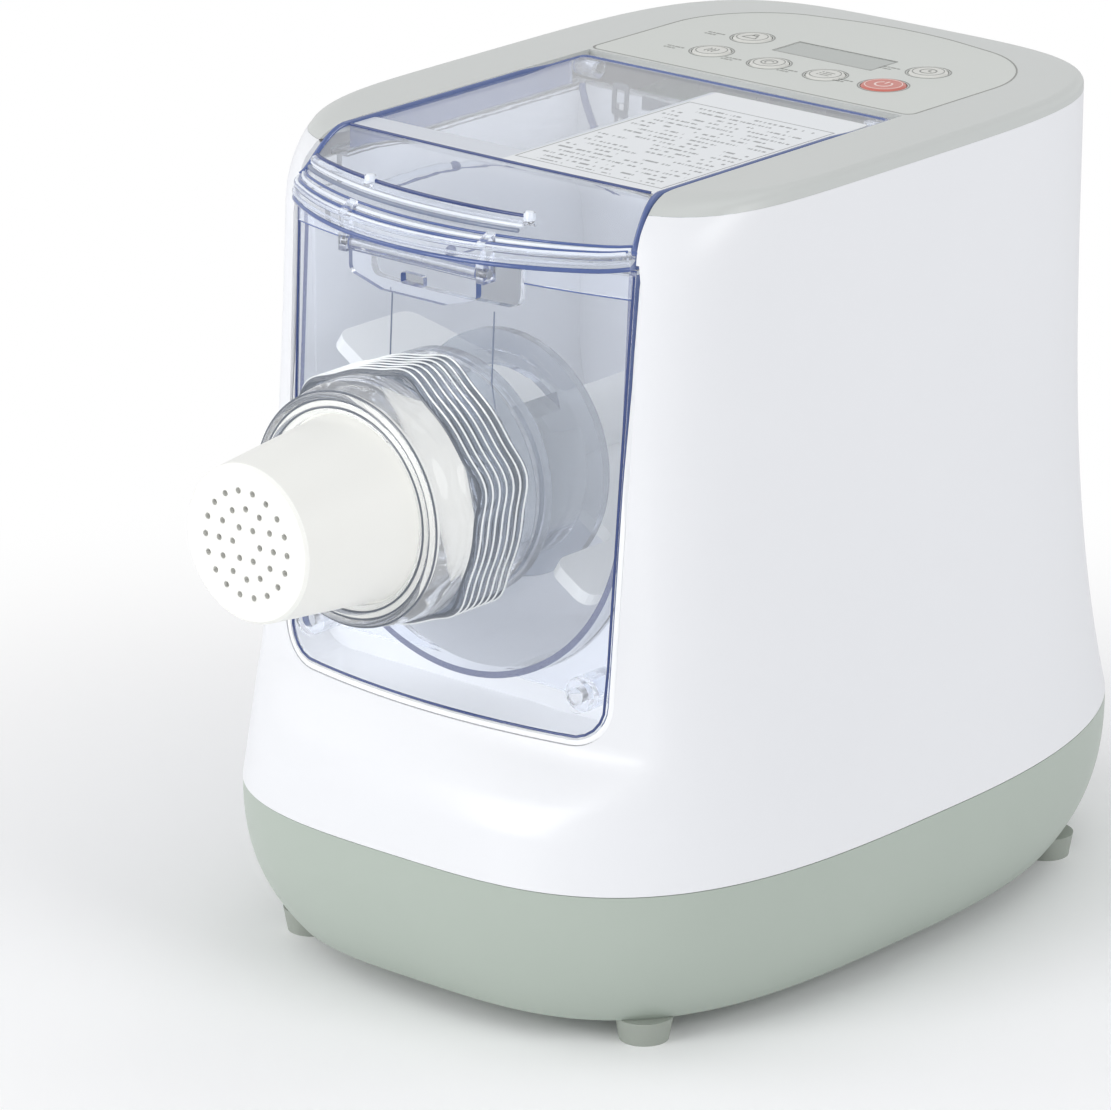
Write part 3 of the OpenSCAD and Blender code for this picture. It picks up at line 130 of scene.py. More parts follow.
table_top, table_tree, table_skin = new_material("table_top")
table_skin.inputs["Base Color"].default_value = tone(252, 252, 253)
table_skin.inputs["Roughness"].default_value = 0.9
table_skin.inputs["Specular IOR Level"].default_value = 0.1
table_place, table_path = add(table_tree, "TexCoord"), add(table_tree, "LightPath")
table_reach = add(table_tree, "VectorMath", "LENGTH")
table_fade = add(table_tree, "MapRange")
table_fade.interpolation_type = "SMOOTHSTEP"
table_fade.inputs["From Min"].default_value = 0.17
table_fade.inputs["From Max"].default_value = 0.50
table_seen, table_below = add(table_tree, "Math", "MULTIPLY"), add(table_tree, "Math", "MULTIPLY")
table_mix, table_last = add(table_tree, "MixShader"), add(table_tree, "MixShader")
join(table_tree, (table_place.outputs["Object"], table_reach.inputs[0]),
     (table_reach.outputs["Value"], table_fade.inputs["Value"]),
     (table_fade.outputs["Result"], table_seen.inputs[0]),
     (table_path.outputs["Is Camera Ray"], table_seen.inputs[1]),
     (table_seen.outputs[0], table_mix.inputs["Fac"]),
     (table_skin.outputs["BSDF"], table_mix.inputs[1]),
     (add(table_tree, "Emission").outputs[0], table_mix.inputs[2]),
     (add(table_tree, "NewGeometry").outputs["Backfacing"], table_below.inputs[0]),
     (table_path.outputs["Is Camera Ray"], table_below.inputs[1]),
     (table_below.outputs[0], table_last.inputs["Fac"]),
     (table_mix.outputs[0], table_last.inputs[1]),
     (add(table_tree, "BsdfTransparent").outputs[0], table_last.inputs[2]),
     (table_last.outputs[0], table_tree.nodes["Material Output"].inputs["Surface"]))

bm = bmesh.new()
bmesh.ops.create_grid(bm, x_segments=8, y_segments=8, size=9.0)    # half its side
mesh = bpy.data.meshes.new("table")
bm.to_mesh(mesh)
bm.free()
table = bpy.data.objects.new("table", mesh)
mesh.materials.append(table_top)
scene.collection.objects.link(table)

# --- Surfaces that several plastics share ---
# Moulded plastic: a very fine grain from the tool, slow drifts of tone and gloss
# where the melt ran, and a duller bloom where hands and cloths pass.


def group_math(tree, operation, a, b):
    """A Math node fed with outputs or plain numbers; gives back its output."""
    node = add(tree, "Math", operation)
    for k, value in enumerate((a, b)):
        if hasattr(value, "is_output"):
            tree.links.new(value, node.inputs[k])
        else:
            node.inputs[k].default_value = value
    return node.outputs[0]


def noise(tree, place, detail, scale):
    """Noise over the piece's own coordinates, at a fixed scale or one that a socket gives."""
    node = add(tree, "TexNoise")
    node.inputs["Detail"].default_value = detail
    join(tree, (place.outputs["Object"], node.inputs["Vector"]))
    if hasattr(scale, "is_output"):
        join(tree, (scale, node.inputs["Scale"]))
    else:
        node.inputs["Scale"].default_value = scale
    return node.outputs["Fac"]


def build_moulded():
    """The group of a moulded plastic's tone, gloss and grain."""
    tree = bpy.data.node_groups.new("moulded_plastic", "ShaderNodeTree")
    for name, kind, value in (("Colour", "NodeSocketColor", (0.8, 0.8, 0.8, 1)),
                              ("Drift Colour", "NodeSocketColor", (0.7, 0.7, 0.7, 1)),
                              ("Drift Scale", "NodeSocketFloat", 9.0),
                              ("Drift Amount", "NodeSocketFloat", 0.3),
                              ("Roughness", "NodeSocketFloat", 0.3),
                              ("Gloss Spread", "NodeSocketFloat", 0.08),
                              ("Grain Scale", "NodeSocketFloat", 2500.0),
                              ("Grain Depth", "NodeSocketFloat", 0.05)):
        tree.interface.new_socket(name=name, in_out="INPUT", socket_type=kind).default_value = value
    for name, kind in (("Colour", "NodeSocketColor"), ("Roughness", "NodeSocketFloat"),
                       ("Normal", "NodeSocketVector")):
        tree.interface.new_socket(name=name, in_out="OUTPUT", socket_type=kind)
    given, made = tree.nodes.new("NodeGroupInput"), tree.nodes.new("NodeGroupOutput")
    place = add(tree, "TexCoord")
    drift = noise(tree, place, 3, given.outputs["Drift Scale"])
    smear = noise(tree, place, 4, 28)
    grain = noise(tree, place, 2, given.outputs["Grain Scale"])
    spread = group_math(tree, "MULTIPLY", group_math(tree, "SUBTRACT", smear, 0.5),
                        given.outputs["Gloss Spread"])
    mix = add(tree, "Mix")
    mix.data_type = "RGBA"
    bump = add(tree, "Bump")
    bump.inputs["Distance"].default_value = 0.0002
    amount = group_math(tree, "MULTIPLY", drift, given.outputs["Drift Amount"])
    join(tree, (amount, mix.inputs["Factor"]),
         (given.outputs["Colour"], mix.inputs["A"]),
         (given.outputs["Drift Colour"], mix.inputs["B"]),
         (mix.outputs["Result"], made.inputs["Colour"]),
         (group_math(tree, "ADD", given.outputs["Roughness"], spread), made.inputs["Roughness"]),
         (given.outputs["Grain Depth"], bump.inputs["Strength"]),
         (grain, bump.inputs["Height"]),
         (bump.outputs["Normal"], made.inputs["Normal"]))
    return tree


moulded_plastic = build_moulded()


def plastic(name, colour, drift, drift_amount=0.3, roughness=0.3, gloss_spread=0.08,
            grain_scale=2500.0, grain_depth=0.05, drift_scale=9.0, coat=0.0, metallic=0.0):
    """A plastic in a colour and the tone it drifts to: the shared group gives tone, gloss and grain."""
    mat, tree, skin = new_material(name)
    group = add(tree, "Group")
    group.node_tree = moulded_plastic
    for key, value in (("Colour", tone(*colour)), ("Drift Colour", tone(*drift)),
                       ("Drift Scale", drift_scale), ("Drift Amount", drift_amount),
                       ("Roughness", roughness),
                       ("Gloss Spread", gloss_spread), ("Grain Scale", grain_scale),
                       ("Grain Depth", grain_depth)):
        group.inputs[key].default_value = value
    join(tree, (group.outputs["Colour"], skin.inputs["Base Color"]),
         (group.outputs["Roughness"], skin.inputs["Roughness"]),
         (group.outputs["Normal"], skin.inputs["Normal"]))
    skin.inputs["Coat Weight"].default_value = coat
    skin.inputs["Coat Roughness"].default_value = 0.12
    skin.inputs["Metallic"].default_value = metallic
    return mat


def dress(mat, *names):
    """Gives nodes of the frame their finish."""
    for name in names:
        data = nodes[name].data
        data.materials.clear()
        data.materials.append(mat)


def finish_piece(name, bm, mat, body, slot, replaced=(), smooth=40):
    """Turns the modelled form into a named piece that rides on its body."""
    data = bpy.data.meshes.new(name)
    bm.to_mesh(data)
    bm.free()
    piece = bpy.data.objects.new(name, data)
    scene.collection.objects.link(piece)
    for one in mat if isinstance(mat, (list, tuple)) else [mat]:
        data.materials.append(one)
    smooth_over(piece, smooth)
    if slot == "clear_plastic":
        # thin clear walls hold back next to no light from what stands behind them
        piece.visible_shadow = piece.visible_diffuse = False
    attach(piece, body)
    if replaced:
        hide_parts(*replaced)
    return piece


def smooth_over(piece, angle):
    """Smooth shading that stays sharp at edges steeper than the angle."""
    data = piece.data
    data.shade_smooth()
    bm = bmesh.new()
    bm.from_mesh(data)
    for edge in bm.edges:
        edge.smooth = len(edge.link_faces) == 2 and edge.calc_face_angle(0) < math.radians(angle)
    bm.to_mesh(data)
    bm.free()


# --- Housing ---
# One deep white moulding: flared at the foot, rounded over at the front, with a
# shallow recess round the clear panel. Gloss white, moulded in one shot.
section_y = 0.005 + set_back
split_z, seam_z, body_h = 0.060, 0.286, 0.291
top_half_w, foot_half_w = 0.098, 0.117
top_front, foot_front, top_rear, foot_rear = 0.128, 0.1595, 0.132, 0.171
nose_r = 0.028                # the front edge rounds over into the top
nose_z = body_h - nose_r
bow_y, bow_top_r, bow_top_z, bow_lean = 0.150 + set_back, 0.275, 0.268, 0.0587


def flare(t, line, power):
    """How far the section has spread at share t of the height: a straight part and a curve."""
    return line * (1 - t) + (1 - line) * max(0.0, 1 - t) ** power


def blend_to(a, b, k):
    return a + (b - a) * k


def superellipse(c, s, half_w, reach, power):
    """Distance to a superellipse's edge in the direction (c, s)."""
    return ((abs(c) / half_w) ** power + (abs(s) / reach) ** power) ** (-1 / power)


def nose_cut(z):
    """How far the rounded front edge draws the front in at height z."""
    return 0.0 if z <= nose_z else nose_r - math.sqrt(max(0.0, nose_r ** 2 - (z - nose_z) ** 2))


def housing_point(angle, z, inset=0.0):
    """A point of the housing's section at height z: a superellipse with its own front and rear."""
    c, s = math.cos(angle), math.sin(angle)
    t = (z - split_z) / (body_h - split_z)
    half_w = blend_to(top_half_w, foot_half_w, flare(t, 0.28, 3.4)) - inset
    if s < 0:
        power = blend_to(3.3, 5.4, t)
        reach = blend_to(top_front, foot_front, flare(t, 0.5, 2.1)) - nose_cut(z) - inset
    else:
        power = blend_to(2.4, 4.2, t)
        reach = blend_to(top_rear, foot_rear, flare(t, 0.28, 3.4)) - inset
    r = superellipse(c, s, half_w, reach, power)
    return Vector((r * c, section_y + r * s, z))


def bow_radius(z):
    """Radius of the panel's bowed front face at height z."""
    return bow_top_r + bow_lean * (bow_top_z - z)


def recess_y(x, z):
    """Front face of the recess round the panel; it ramps out below the panel."""
    ramp = min(1.0, max(0.0, (0.104 - z) / 0.020))
    radius = bow_radius(z) + 0.0007 + 0.0145 * ramp + 0.05 * min(1.0, max(0.0, (0.082 - z) / 0.006))
    return bow_y - math.sqrt(max(0.0, radius ** 2 - x ** 2))


def housing_skin(angle, z):
    """The housing's outer face, drawn back softly to the recess in front."""
    p = housing_point(angle, z)
    if p.y < section_y and z < 0.280:
        seat = recess_y(p.x, z)
        soft = 0.0022         # radius of the soft edge round the recess
        p.y = (p.y + seat + math.sqrt((p.y - seat) ** 2 + soft ** 2)) / 2 - 0.00018
    return p


def loft_form(count, heights, point):
    """An open tube of sections: a ring of points is extruded up and each ring takes its section."""
    bm = bmesh.new()
    bmesh.ops.create_circle(bm, segments=count, radius=1.0)
    ring = bm.edges[:]
    for level in range(1, len(heights)):
        out = bmesh.ops.extrude_edge_only(bm, edges=ring)["geom"]
        raised = [g for g in out if isinstance(g, bmesh.types.BMVert)]
        bmesh.ops.translate(bm, verts=raised, vec=(0, 0, 1))
        top = set(raised)
        ring = [e for e in bm.edges if e.verts[0] in top and e.verts[1] in top]
    for v in bm.verts:
        v.co = point(math.atan2(v.co.y, v.co.x), heights[round(v.co.z)])
    bmesh.ops.recalc_face_normals(bm, faces=bm.faces)
    return bm


def round_over(form, geom, offset, segments, affect="EDGES"):
    """Rounds the given edges, or corners, off."""
    bmesh.ops.bevel(form, geom=geom, offset=offset, affect=affect, segments=segments, profile=0.5,
                    material=-1)


def plate_form(corners, lift, depth, segments=8):
    """A flat outline with rounded corners given as (x, z, setback), raised from y = lift by depth."""
    bm = bmesh.new()
    verts = [bm.verts.new((x, lift, z)) for x, z, _ in corners]
    bm.faces.new(verts)
    for v, (_, _, r) in zip(verts, corners):
        if r:
            round_over(bm, [v], r, segments, "VERTICES")
    out = bmesh.ops.extrude_face_region(bm, geom=bm.faces[:])["geom"]
    raised = [g for g in out if isinstance(g, bmesh.types.BMVert)]
    bmesh.ops.translate(bm, verts=raised, vec=(0, depth, 0))
    bmesh.ops.recalc_face_normals(bm, faces=bm.faces)
    return bm


def cut(piece, forms):
    """Cuts each form out of the piece for good."""
    for form in forms:
        data = bpy.data.meshes.new("cutter")
        form.to_mesh(data)
        form.free()
        tool = bpy.data.objects.new("cutter", data)
        scene.collection.objects.link(tool)
        step = piece.modifiers.new("cut", "BOOLEAN")
        step.operation = "DIFFERENCE"
        step.solver = "EXACT"
        step.object = tool
        apply_all(piece)
        bpy.data.objects.remove(tool)
        bpy.data.meshes.remove(data)


def apply_all(piece):
    """Bakes a piece's modifiers into its mesh."""
    bpy.context.view_layer.update()
    graph = bpy.context.evaluated_depsgraph_get()
    fresh = bpy.data.meshes.new_from_object(piece.evaluated_get(graph), depsgraph=graph)
    old = piece.data
    piece.modifiers.clear()
    fresh.name = old.name
    piece.data = fresh
    bpy.data.meshes.remove(old)


def thicken(piece, wall):
    """Gives a skin its wall, inwards."""
    step = piece.modifiers.new("wall", "SOLIDIFY")
    step.thickness = wall
    step.offset = -1
    apply_all(piece)


gloss_white = plastic("gloss_white_shell", (232, 233, 236), (223, 225, 229), 0.35, 0.36, 0.06,
                      grain_depth=0.03, coat=0.05)
heights = ([split_z + (0.268 - split_z) * k / 64 for k in range(65)]
           + [nose_z + 0.028 * math.sin(math.radians(a)) for a in range(12, 56, 3)] + [seam_z])
heights = sorted({round(h, 5) for h in heights})
form = loft_form(360, heights, housing_skin)
housing = finish_piece("housing_shell", form, gloss_white, "machine", "white_plastic",
                       ("body_housing",))
thicken(housing, 0.0026)
panel_low_w, panel_top_w, panel_z0, panel_rise = 0.0708, 0.0744, 0.108, 0.160
panel_gap, notch_z = 0.0025, 0.262       # the recess stands open round the panel, up to the notch


def panel_half(z):
    """Half the panel's width at height z."""
    return panel_low_w + (panel_top_w - panel_low_w) * (z - panel_z0) / panel_rise


def both_sides(left):
    """An outline's left half, followed by its mirror image."""
    return left + [(-x, y, r) for x, y, r in reversed(left)]


opening = plate_form(both_sides([(-0.0754, 0.2712, 0), (-panel_half(notch_z) - panel_gap, notch_z, 0),
                                 (-panel_low_w - panel_gap, panel_z0 - panel_gap, 0.013 + panel_gap)]),
                     -0.230, 0.148)
lid_half, lip_half, lip_end = 0.0691, 0.0744, -0.119 + set_back
lid_front, lid_back = -0.096 + set_back, 0.0284 + set_back
lid_gap, visor_gap = 0.0006, 0.001
lid_well = both_sides([(-lid_half - lid_gap, 0.0544, 0), (-lid_half - lid_gap, lid_front + 0.001, 0),
                       (-lip_half - visor_gap, lip_end, 0), (-lip_half - visor_gap, -0.2, 0)])
above_panel = plate_form([(x, -y, r) for x, y, r in lid_well], 0.2710, 0.030)
bmesh.ops.rotate(above_panel, verts=above_panel.verts, cent=(0, 0, 0),
                 matrix=Matrix.Rotation(math.pi / 2, 3, "X"))
louvres = []
louvre_half, louvre_h, louvre_end = 0.030, 0.003, 0.0014
for k in range(5):
    low = 0.090 + 0.007 * k
    louvres.append(plate_form([(-louvre_half, low, louvre_end), (louvre_half, low, louvre_end),
                               (louvre_half, low + louvre_h, louvre_end),
                               (-louvre_half, low + louvre_h, louvre_end)], 0.120, 0.100, 4))
cut(housing, [opening, above_panel] + louvres)
smooth_over(housing, 35)

# --- Base tray ---
# Sage-grey lower shell with a lower edge that rolls under, satin moulded plastic. It is
# screwed up into the housing, carries the feet and has a window for the mains inlet.
tray_z = 0.0085


def tray_point(angle, z):
    """A point of the base's skin: the housing's lowest section, rolled in towards the floor."""
    k = 1 - (1 - min(1.0, max(0.0, (z - tray_z) / (split_z - tray_z)))) ** 2.6
    c, s = math.cos(angle), math.sin(angle)
    half_w = foot_half_w - 0.016 * (1 - k)
    front = s < 0
    power = 3.3 if front else 2.4
    reach = (foot_front - 0.016 * (1 - k)) if front else (foot_rear - 0.0112 * (1 - k))
    r = superellipse(c, s, half_w, reach, power)
    return Vector((r * c, section_y + r * s, z))


sage = plastic("sage_base_plastic", (176, 186, 177), (166, 176, 166), 0.5, 0.36, 0.08,
               grain_depth=0.10, coat=0.0)
form = loft_form(240, [tray_z + (split_z - 0.0003 - tray_z) * (k / 30) ** 2.2 for k in range(31)],
                 tray_point)
rim = [e for e in form.edges if e.is_boundary and e.verts[0].co.z < tray_z + 0.001]
bmesh.ops.edgeloop_fill(form, edges=rim)
bmesh.ops.recalc_face_normals(form, faces=form.faces)
tray = finish_piece("base_shell", form, sage, "machine", "sage_plastic", ("base_tray",))
thicken(tray, 0.0028)
cuts = []                     # cooling slots under the motor, then the window of the mains inlet
for k in range(-6, 7):
    x = 0.006 * k
    slot_form = bmesh.new()
    bmesh.ops.create_cube(slot_form, size=1.0)
    bmesh.ops.scale(slot_form, vec=(0.003, 0.046, 0.03), verts=slot_form.verts)
    upright = [e for e in slot_form.edges if abs(e.verts[0].co.z - e.verts[1].co.z) > 0.01]
    round_over(slot_form, upright, 0.00147, 4)
    bmesh.ops.translate(slot_form, vec=(x, 0.088 + set_back, 0.01), verts=slot_form.verts)
    cuts.append(slot_form)
window = bmesh.new()
bmesh.ops.create_cube(window, size=1.0)
bmesh.ops.scale(window, vec=(0.028, 0.08, 0.020), verts=window.verts)
bmesh.ops.translate(window, vec=(0, 0.186, 0.032), verts=window.verts)
cut(tray, cuts + [window])
smooth_over(tray, 35)

# --- Feet ---
# Four soft rubber feet, narrower at the table. Each has a stem that goes up through a
# hole in the bottom of the base.
dress(plastic("foot_rubber", (160, 166, 158), (146, 152, 145), 0.5, 0.62, 0.1,
              grain_scale=1800, grain_depth=0.25), "rubber_feet")

# --- Top cover ---
# Light grey cover with a rounded rim, cut away for the lid and sunk for the control
# inlay. Satin moulded plastic; a skirt below its rim locates it in the housing.
cover_edge = 0.0032
cover_seat_z = body_h - 0.0014


def slab_form(corners, low, high, segments=8):
    """A lying outline with rounded corners given as (x, y, setback), from z = low to high."""
    form = plate_form(corners, -high, high - low, segments)
    bmesh.ops.rotate(form, verts=form.verts, cent=(0, 0, 0),
                     matrix=Matrix.Rotation(-math.pi / 2, 3, "X"))
    return form


def drum_form(x, y, radius, low, high):
    """A standing round drum."""
    form = bmesh.new()
    bmesh.ops.create_cone(form, cap_ends=True, segments=64, radius1=radius, radius2=radius,
                          depth=high - low)
    bmesh.ops.translate(form, vec=(x, y, (low + high) / 2), verts=form.verts)
    return form


def close_tube(form):
    """Closes the open ends of a tube and turns its faces outwards."""
    bmesh.ops.edgeloop_fill(form, edges=[e for e in form.edges if e.is_boundary])
    bmesh.ops.recalc_face_normals(form, faces=form.faces)


def cover_point(angle, z):
    """A point of the cover's skin: the housing's section, drawn in along the rounded rim."""
    s = max(0.0, (z - body_h + cover_edge) / cover_edge)
    return housing_point(angle, z, cover_edge * (1 - math.sqrt(max(0.0, 1 - s * s))))


cover_grey = plastic("grey_cover_plastic", (198, 201, 199), (189, 192, 190), 0.35, 0.34, 0.06,
                     grain_depth=0.08)
form = loft_form(360, [seam_z + 0.00005] + [body_h - cover_edge + cover_edge * math.sin(math.radians(a))
                                           for a in range(0, 91, 9)], cover_point)
close_tube(form)
cover = finish_piece("cover_shell", form, cover_grey, "machine", "grey_plastic", ("top_cover",))
button_places = {"noodle_button": (-0.035, 0.080), "knead_button": (-0.009, 0.080),
                 "menu_button": (0.016, 0.080), "weight_button": (-0.036, 0.104),
                 "time_button": (0.041, 0.106), "start_button": (0.040, 0.082)}


def inlay_corners(grow):
    """The inlay's outline, a gable with rounded corners, grown by a margin."""
    return [(-0.071 - grow, 0.0566 - grow, 0.004), (0.071 + grow, 0.0566 - grow, 0.004),
            (0.071 + grow, 0.137, 0.0328), (0, 0.151 + grow, 0.024), (-0.071 - grow, 0.137, 0.0328)]


openings = [slab_form(lid_well, seam_z - 0.001, body_h + 0.001),
            slab_form(inlay_corners(0.0003), cover_seat_z, body_h + 0.001, 12)]
for name, (x, y) in button_places.items():
    openings.append(drum_form(x, y, 0.00835 if name == "start_button" else 0.00735, seam_z - 0.001,
                              body_h + 0.001))
cut(cover, openings)
smooth_over(cover, 35)

# --- Control panel ---
# Inlay with display window, five grey buttons and a red one. The outlines, rings and
# signs and the rows of dashes beside them are pad printed, a tenth of a millimetre proud.
dress(plastic("inlay_plastic", (206, 209, 205), (198, 201, 197), 0.3, 0.42, 0.06,
              grain_depth=0.12), "control_inlay")
dress(plastic("display_plastic", (163, 168, 164), (150, 156, 152), 0.4, 0.16, 0.04,
              grain_depth=0.0, drift_scale=40), "display_window")
dress(plastic("button_plastic", (214, 214, 209), (204, 205, 200), 0.3, 0.38, 0.06,
              grain_depth=0.1), *button_places)
dress(plastic("start_button_plastic", (200, 112, 100), (186, 98, 88), 0.4, 0.35, 0.06),
      "start_button")
grey_ink = plastic("grey_print", (138, 140, 136), (152, 153, 150), 0.5, 0.5, 0.08,
                   grain_depth=0.15)
pale_ink = plastic("pale_print", (238, 214, 208), (230, 204, 198), 0.4, 0.45, 0.08,
                   grain_depth=0.15)
print_t = 0.00012
ink_z = body_h + print_t / 2
button_proud = 0.0005


def stroke_ring(form, at, radius, width, start=0, sweep=360, steps=30):
    """A flat ring or arc of ink."""
    a = math.radians(start)
    ends = [form.verts.new((at[0] + r * math.cos(a), at[1] + r * math.sin(a), at[2]))
            for r in (radius - width / 2, radius + width / 2)]
    edge = form.edges.new(ends)
    bmesh.ops.spin(form, geom=ends + [edge], cent=at, axis=(0, 0, 1), angle=math.radians(sweep),
                   steps=steps, use_merge=sweep == 360)


def stroke_bar(form, start, end, width):
    """A flat straight stroke of ink."""
    a, b = Vector(start), Vector(end)
    side = (b - a).normalized().cross(Vector((0, 0, 1))) * width / 2
    form.faces.new([form.verts.new(p) for p in (a - side, b - side, b + side, a + side)])


def print_piece(name, form, ink, body):
    """Gives a stroke drawing its thickness of ink."""
    bmesh.ops.recalc_face_normals(form, faces=form.faces)
    for face in form.faces:
        if face.normal.z < 0:
            face.normal_flip()
    piece = finish_piece(name, form, ink, body, "display")
    thicken(piece, print_t)
    return piece


def pictogram(kind, form, x, y, z):
    """Draws a button's plain sign round (x, y), its strokes given in millimetres."""
    def bar(x0, y0, x1, y1, width=0.0005):
        stroke_bar(form, (x + x0 / 1000, y + y0 / 1000, z), (x + x1 / 1000, y + y1 / 1000, z), width)

    def ring(x0, y0, radius, start=0, sweep=360, width=0.0005):
        stroke_ring(form, (x + x0 / 1000, y + y0 / 1000, z), radius / 1000, width, start, sweep)

    if kind == "noodle_button":
        for k in (-1.6, 0, 1.6):
            ring(k - 0.9, 1.2, 1.3, -60, 110)
            ring(k + 0.9, -1.2, 1.3, 120, 110)
    elif kind == "knead_button":
        ring(0, 0, 2.9)
        ring(0, 0, 1.5, 20, 230)
    elif kind == "menu_button":
        for k in (-1.8, 0, 1.8):
            bar(-2.6, k, -1.8, k)
            bar(-1.2, k, 2.8, k)
    elif kind == "weight_button":
        bar(-2.9, -2.2, 2.9, -2.2)
        bar(-2.9, -2.2, -1.6, 1.2)
        bar(2.9, -2.2, 1.6, 1.2)
        bar(-1.6, 1.2, 1.6, 1.2)
        ring(0, 2.2, 0.9)
    elif kind == "time_button":
        ring(0, 0, 2.9)
        bar(0, 0, 0, 2.0)
        bar(0, 0, 1.6, -0.5)
    else:
        ring(0, 0, 3.0, 120, 300, 0.0007)
        bar(0, 0.8, 0, 3.6, 0.0007)


rings_form = bmesh.new()
for name, (x, y) in button_places.items():
    radius = 0.008 if name == "start_button" else 0.007
    form = bmesh.new()
    sign_z = body_h + button_proud + print_t / 2
    pictogram(name, form, x, y, sign_z)
    stroke_ring(form, (x, y, sign_z), radius - 0.0014, 0.00035, steps=48)
    print_piece(name + "_pictogram", form, pale_ink if name == "start_button" else grey_ink, name)
    stroke_ring(rings_form, (x, y, ink_z), radius + 0.0010, 0.0005, steps=48)
    for row, lengths in enumerate(((1.5, 1.0, 2.1, 1.2), (0.9, 1.9, 1.1))):
        place, row_y = x - radius - 0.0105, y - 0.0030 - 0.0022 * row
        for length in lengths:
            stroke_bar(rings_form, (place, row_y, ink_z), (place + length / 1000, row_y, ink_z), 0.0009)
            place += length / 1000 + 0.0005
print_piece("control_print", rings_form, grey_ink, "machine")

form = bmesh.new()
left, right, low, high = -0.0199, 0.0239, 0.0952, 0.1108
for x0, y0, x1, y1 in ((left, low, right, low), (left, high, right, high),
                       (left, low, left, high), (right, low, right, high)):
    stroke_bar(form, (x0, y0, ink_z), (x1, y1, ink_z), 0.0004)
print_piece("display_border", form, grey_ink, "machine")

form = bmesh.new()
corners, line_w = inlay_corners(0.0006), 0.0006
form.faces.new([form.verts.new((x, y, ink_z)) for x, y, _ in corners])
for v, (_, _, setback) in zip(list(form.verts), corners):
    round_over(form, [v], setback, 14, "VERTICES")
inner = form.faces[:]
bmesh.ops.inset_region(form, faces=inner, thickness=line_w, use_boundary=True, use_even_offset=True)
bmesh.ops.delete(form, geom=inner, context="FACES")
print_piece("inlay_outline", form, grey_ink, "machine")

# --- Bay ---
# White inner moulding: a frame round the clear panel and a U-shaped shell that the
# trough sits in. Four spacers on the gear case hold its rear wall.
dress(plastic("bay_plastic", (247, 248, 250), (240, 242, 245), 0.3, 0.34, 0.06), "mixing_bay")

# --- Clear parts ---
# Copolyester with a faint blue tint, injection moulded. Light passes along inside a wall,
# so its cut edges look deep blue; that glow is painted on the cut edges and beads in deep
# blue, with a darker blue as painted shade, and the barrel and the nut's front are grey as painted
# shade.


def clear_plastic(name, colour, bend, haze, roughness=0.025, waves=0.10):
    """A clear moulding with a little haze in it."""
    mat = plastic(name, colour, colour, 0.2, roughness, 0.02, 90.0, waves)
    skin = mat.node_tree.nodes["Principled BSDF"]
    skin.inputs["Transmission Weight"].default_value = 1.0 - haze
    skin.inputs["IOR"].default_value = bend
    return mat


clear_blue = clear_plastic("clear_blue_plastic", (246, 249, 255), 1.26, 0.11)
clear_bright = clear_plastic("clear_bright_plastic", (250, 251, 252), 1.34, 0.12, 0.03, 0.02)
# clear plastic darkened grey: painted shade for the dim inside of the barrel and the nut's front band
clear_painted_shade = clear_plastic("clear_painted_shade_plastic", (196, 202, 211), 1.36, 0.10, 0.03, 0.03)
# deep blue painted on cut edges, beads and knobs: painted glow of light passed along the clear walls
painted_edge_glow = plastic("painted_edge_glow_blue", (62, 84, 142), (90, 112, 166), 0.6, 0.12, 0.05,
                    grain_depth=0.0, drift_scale=60, coat=0.5)
painted_edge_glow.node_tree.nodes["Principled BSDF"].inputs["Transmission Weight"].default_value = 0.15
# a darker copy of the edge blue: painted shade on the trough's edges, the panel's rim and dark lines on
# the lid
painted_edge_shade = plastic("painted_edge_shade_blue", (40, 58, 112), (56, 76, 132), 0.6, 0.14, 0.05,
                    grain_depth=0.0, drift_scale=60, coat=0.4)


def smooth_copy(node, name, mats, body, choose=None):
    """A node's piece with its joints merged, its curves shaded smooth and its edges finished apart."""
    form = bmesh.new()
    form.from_mesh(nodes[node].data)
    bmesh.ops.remove_doubles(form, verts=form.verts, dist=0.000002)
    bmesh.ops.dissolve_limit(form, angle_limit=math.radians(0.4), verts=form.verts, edges=form.edges)
    for face in form.faces:
        face.material_index = choose(face.normal, face.calc_center_median()) if choose else 0
    return finish_piece(name, form, mats, body, "clear_plastic", (node,), 35)


# which faces of a clear part are cut edges, which take the painted edge glow or shade: 1 for an edge, 0
# for the rest
def trough_edge(normal, middle):
    return 1 if normal.y < -0.6 and middle.y < -0.0885 else 0


def panel_edge(normal, middle):
    side = abs(normal.x) > 0.7 and abs(middle.x) > panel_half(middle.z) - 0.002
    low = normal.z < -0.4 and abs(middle.x) > 0.01 and middle.z < 0.1082
    return 1 if side or low else 0


def tab_edge(normal, middle):
    return 1 if abs(normal.x) > 0.8 or normal.z < -0.8 else 0


def lid_edge(normal, middle):
    share = min(1.0, max(0.0, (lid_front - middle.y) / (lid_front - lip_end)))
    side = abs(normal.x) > 0.8 and abs(middle.x) > blend_to(lid_half, lip_half, share) - 0.0006
    lip = normal.z < -0.7 and middle.y < lip_end and middle.z < 0.2705
    return 1 if side or lip else 0


smooth_copy("mixing_trough", "trough_tub", (clear_blue, painted_edge_shade), "machine", trough_edge)
smooth_copy("front_panel", "panel_sheet", (clear_blue, painted_edge_glow), "panel", panel_edge)
smooth_copy("lid", "lid_sheet", (clear_blue, painted_edge_glow), "lid", lid_edge)
smooth_copy("lid_catch", "pull_tab", (clear_blue, painted_edge_glow), "catch", tab_edge)
# the barrel's grey is painted shade
smooth_copy("extrusion_barrel", "barrel_tube", (clear_painted_shade,), "panel")

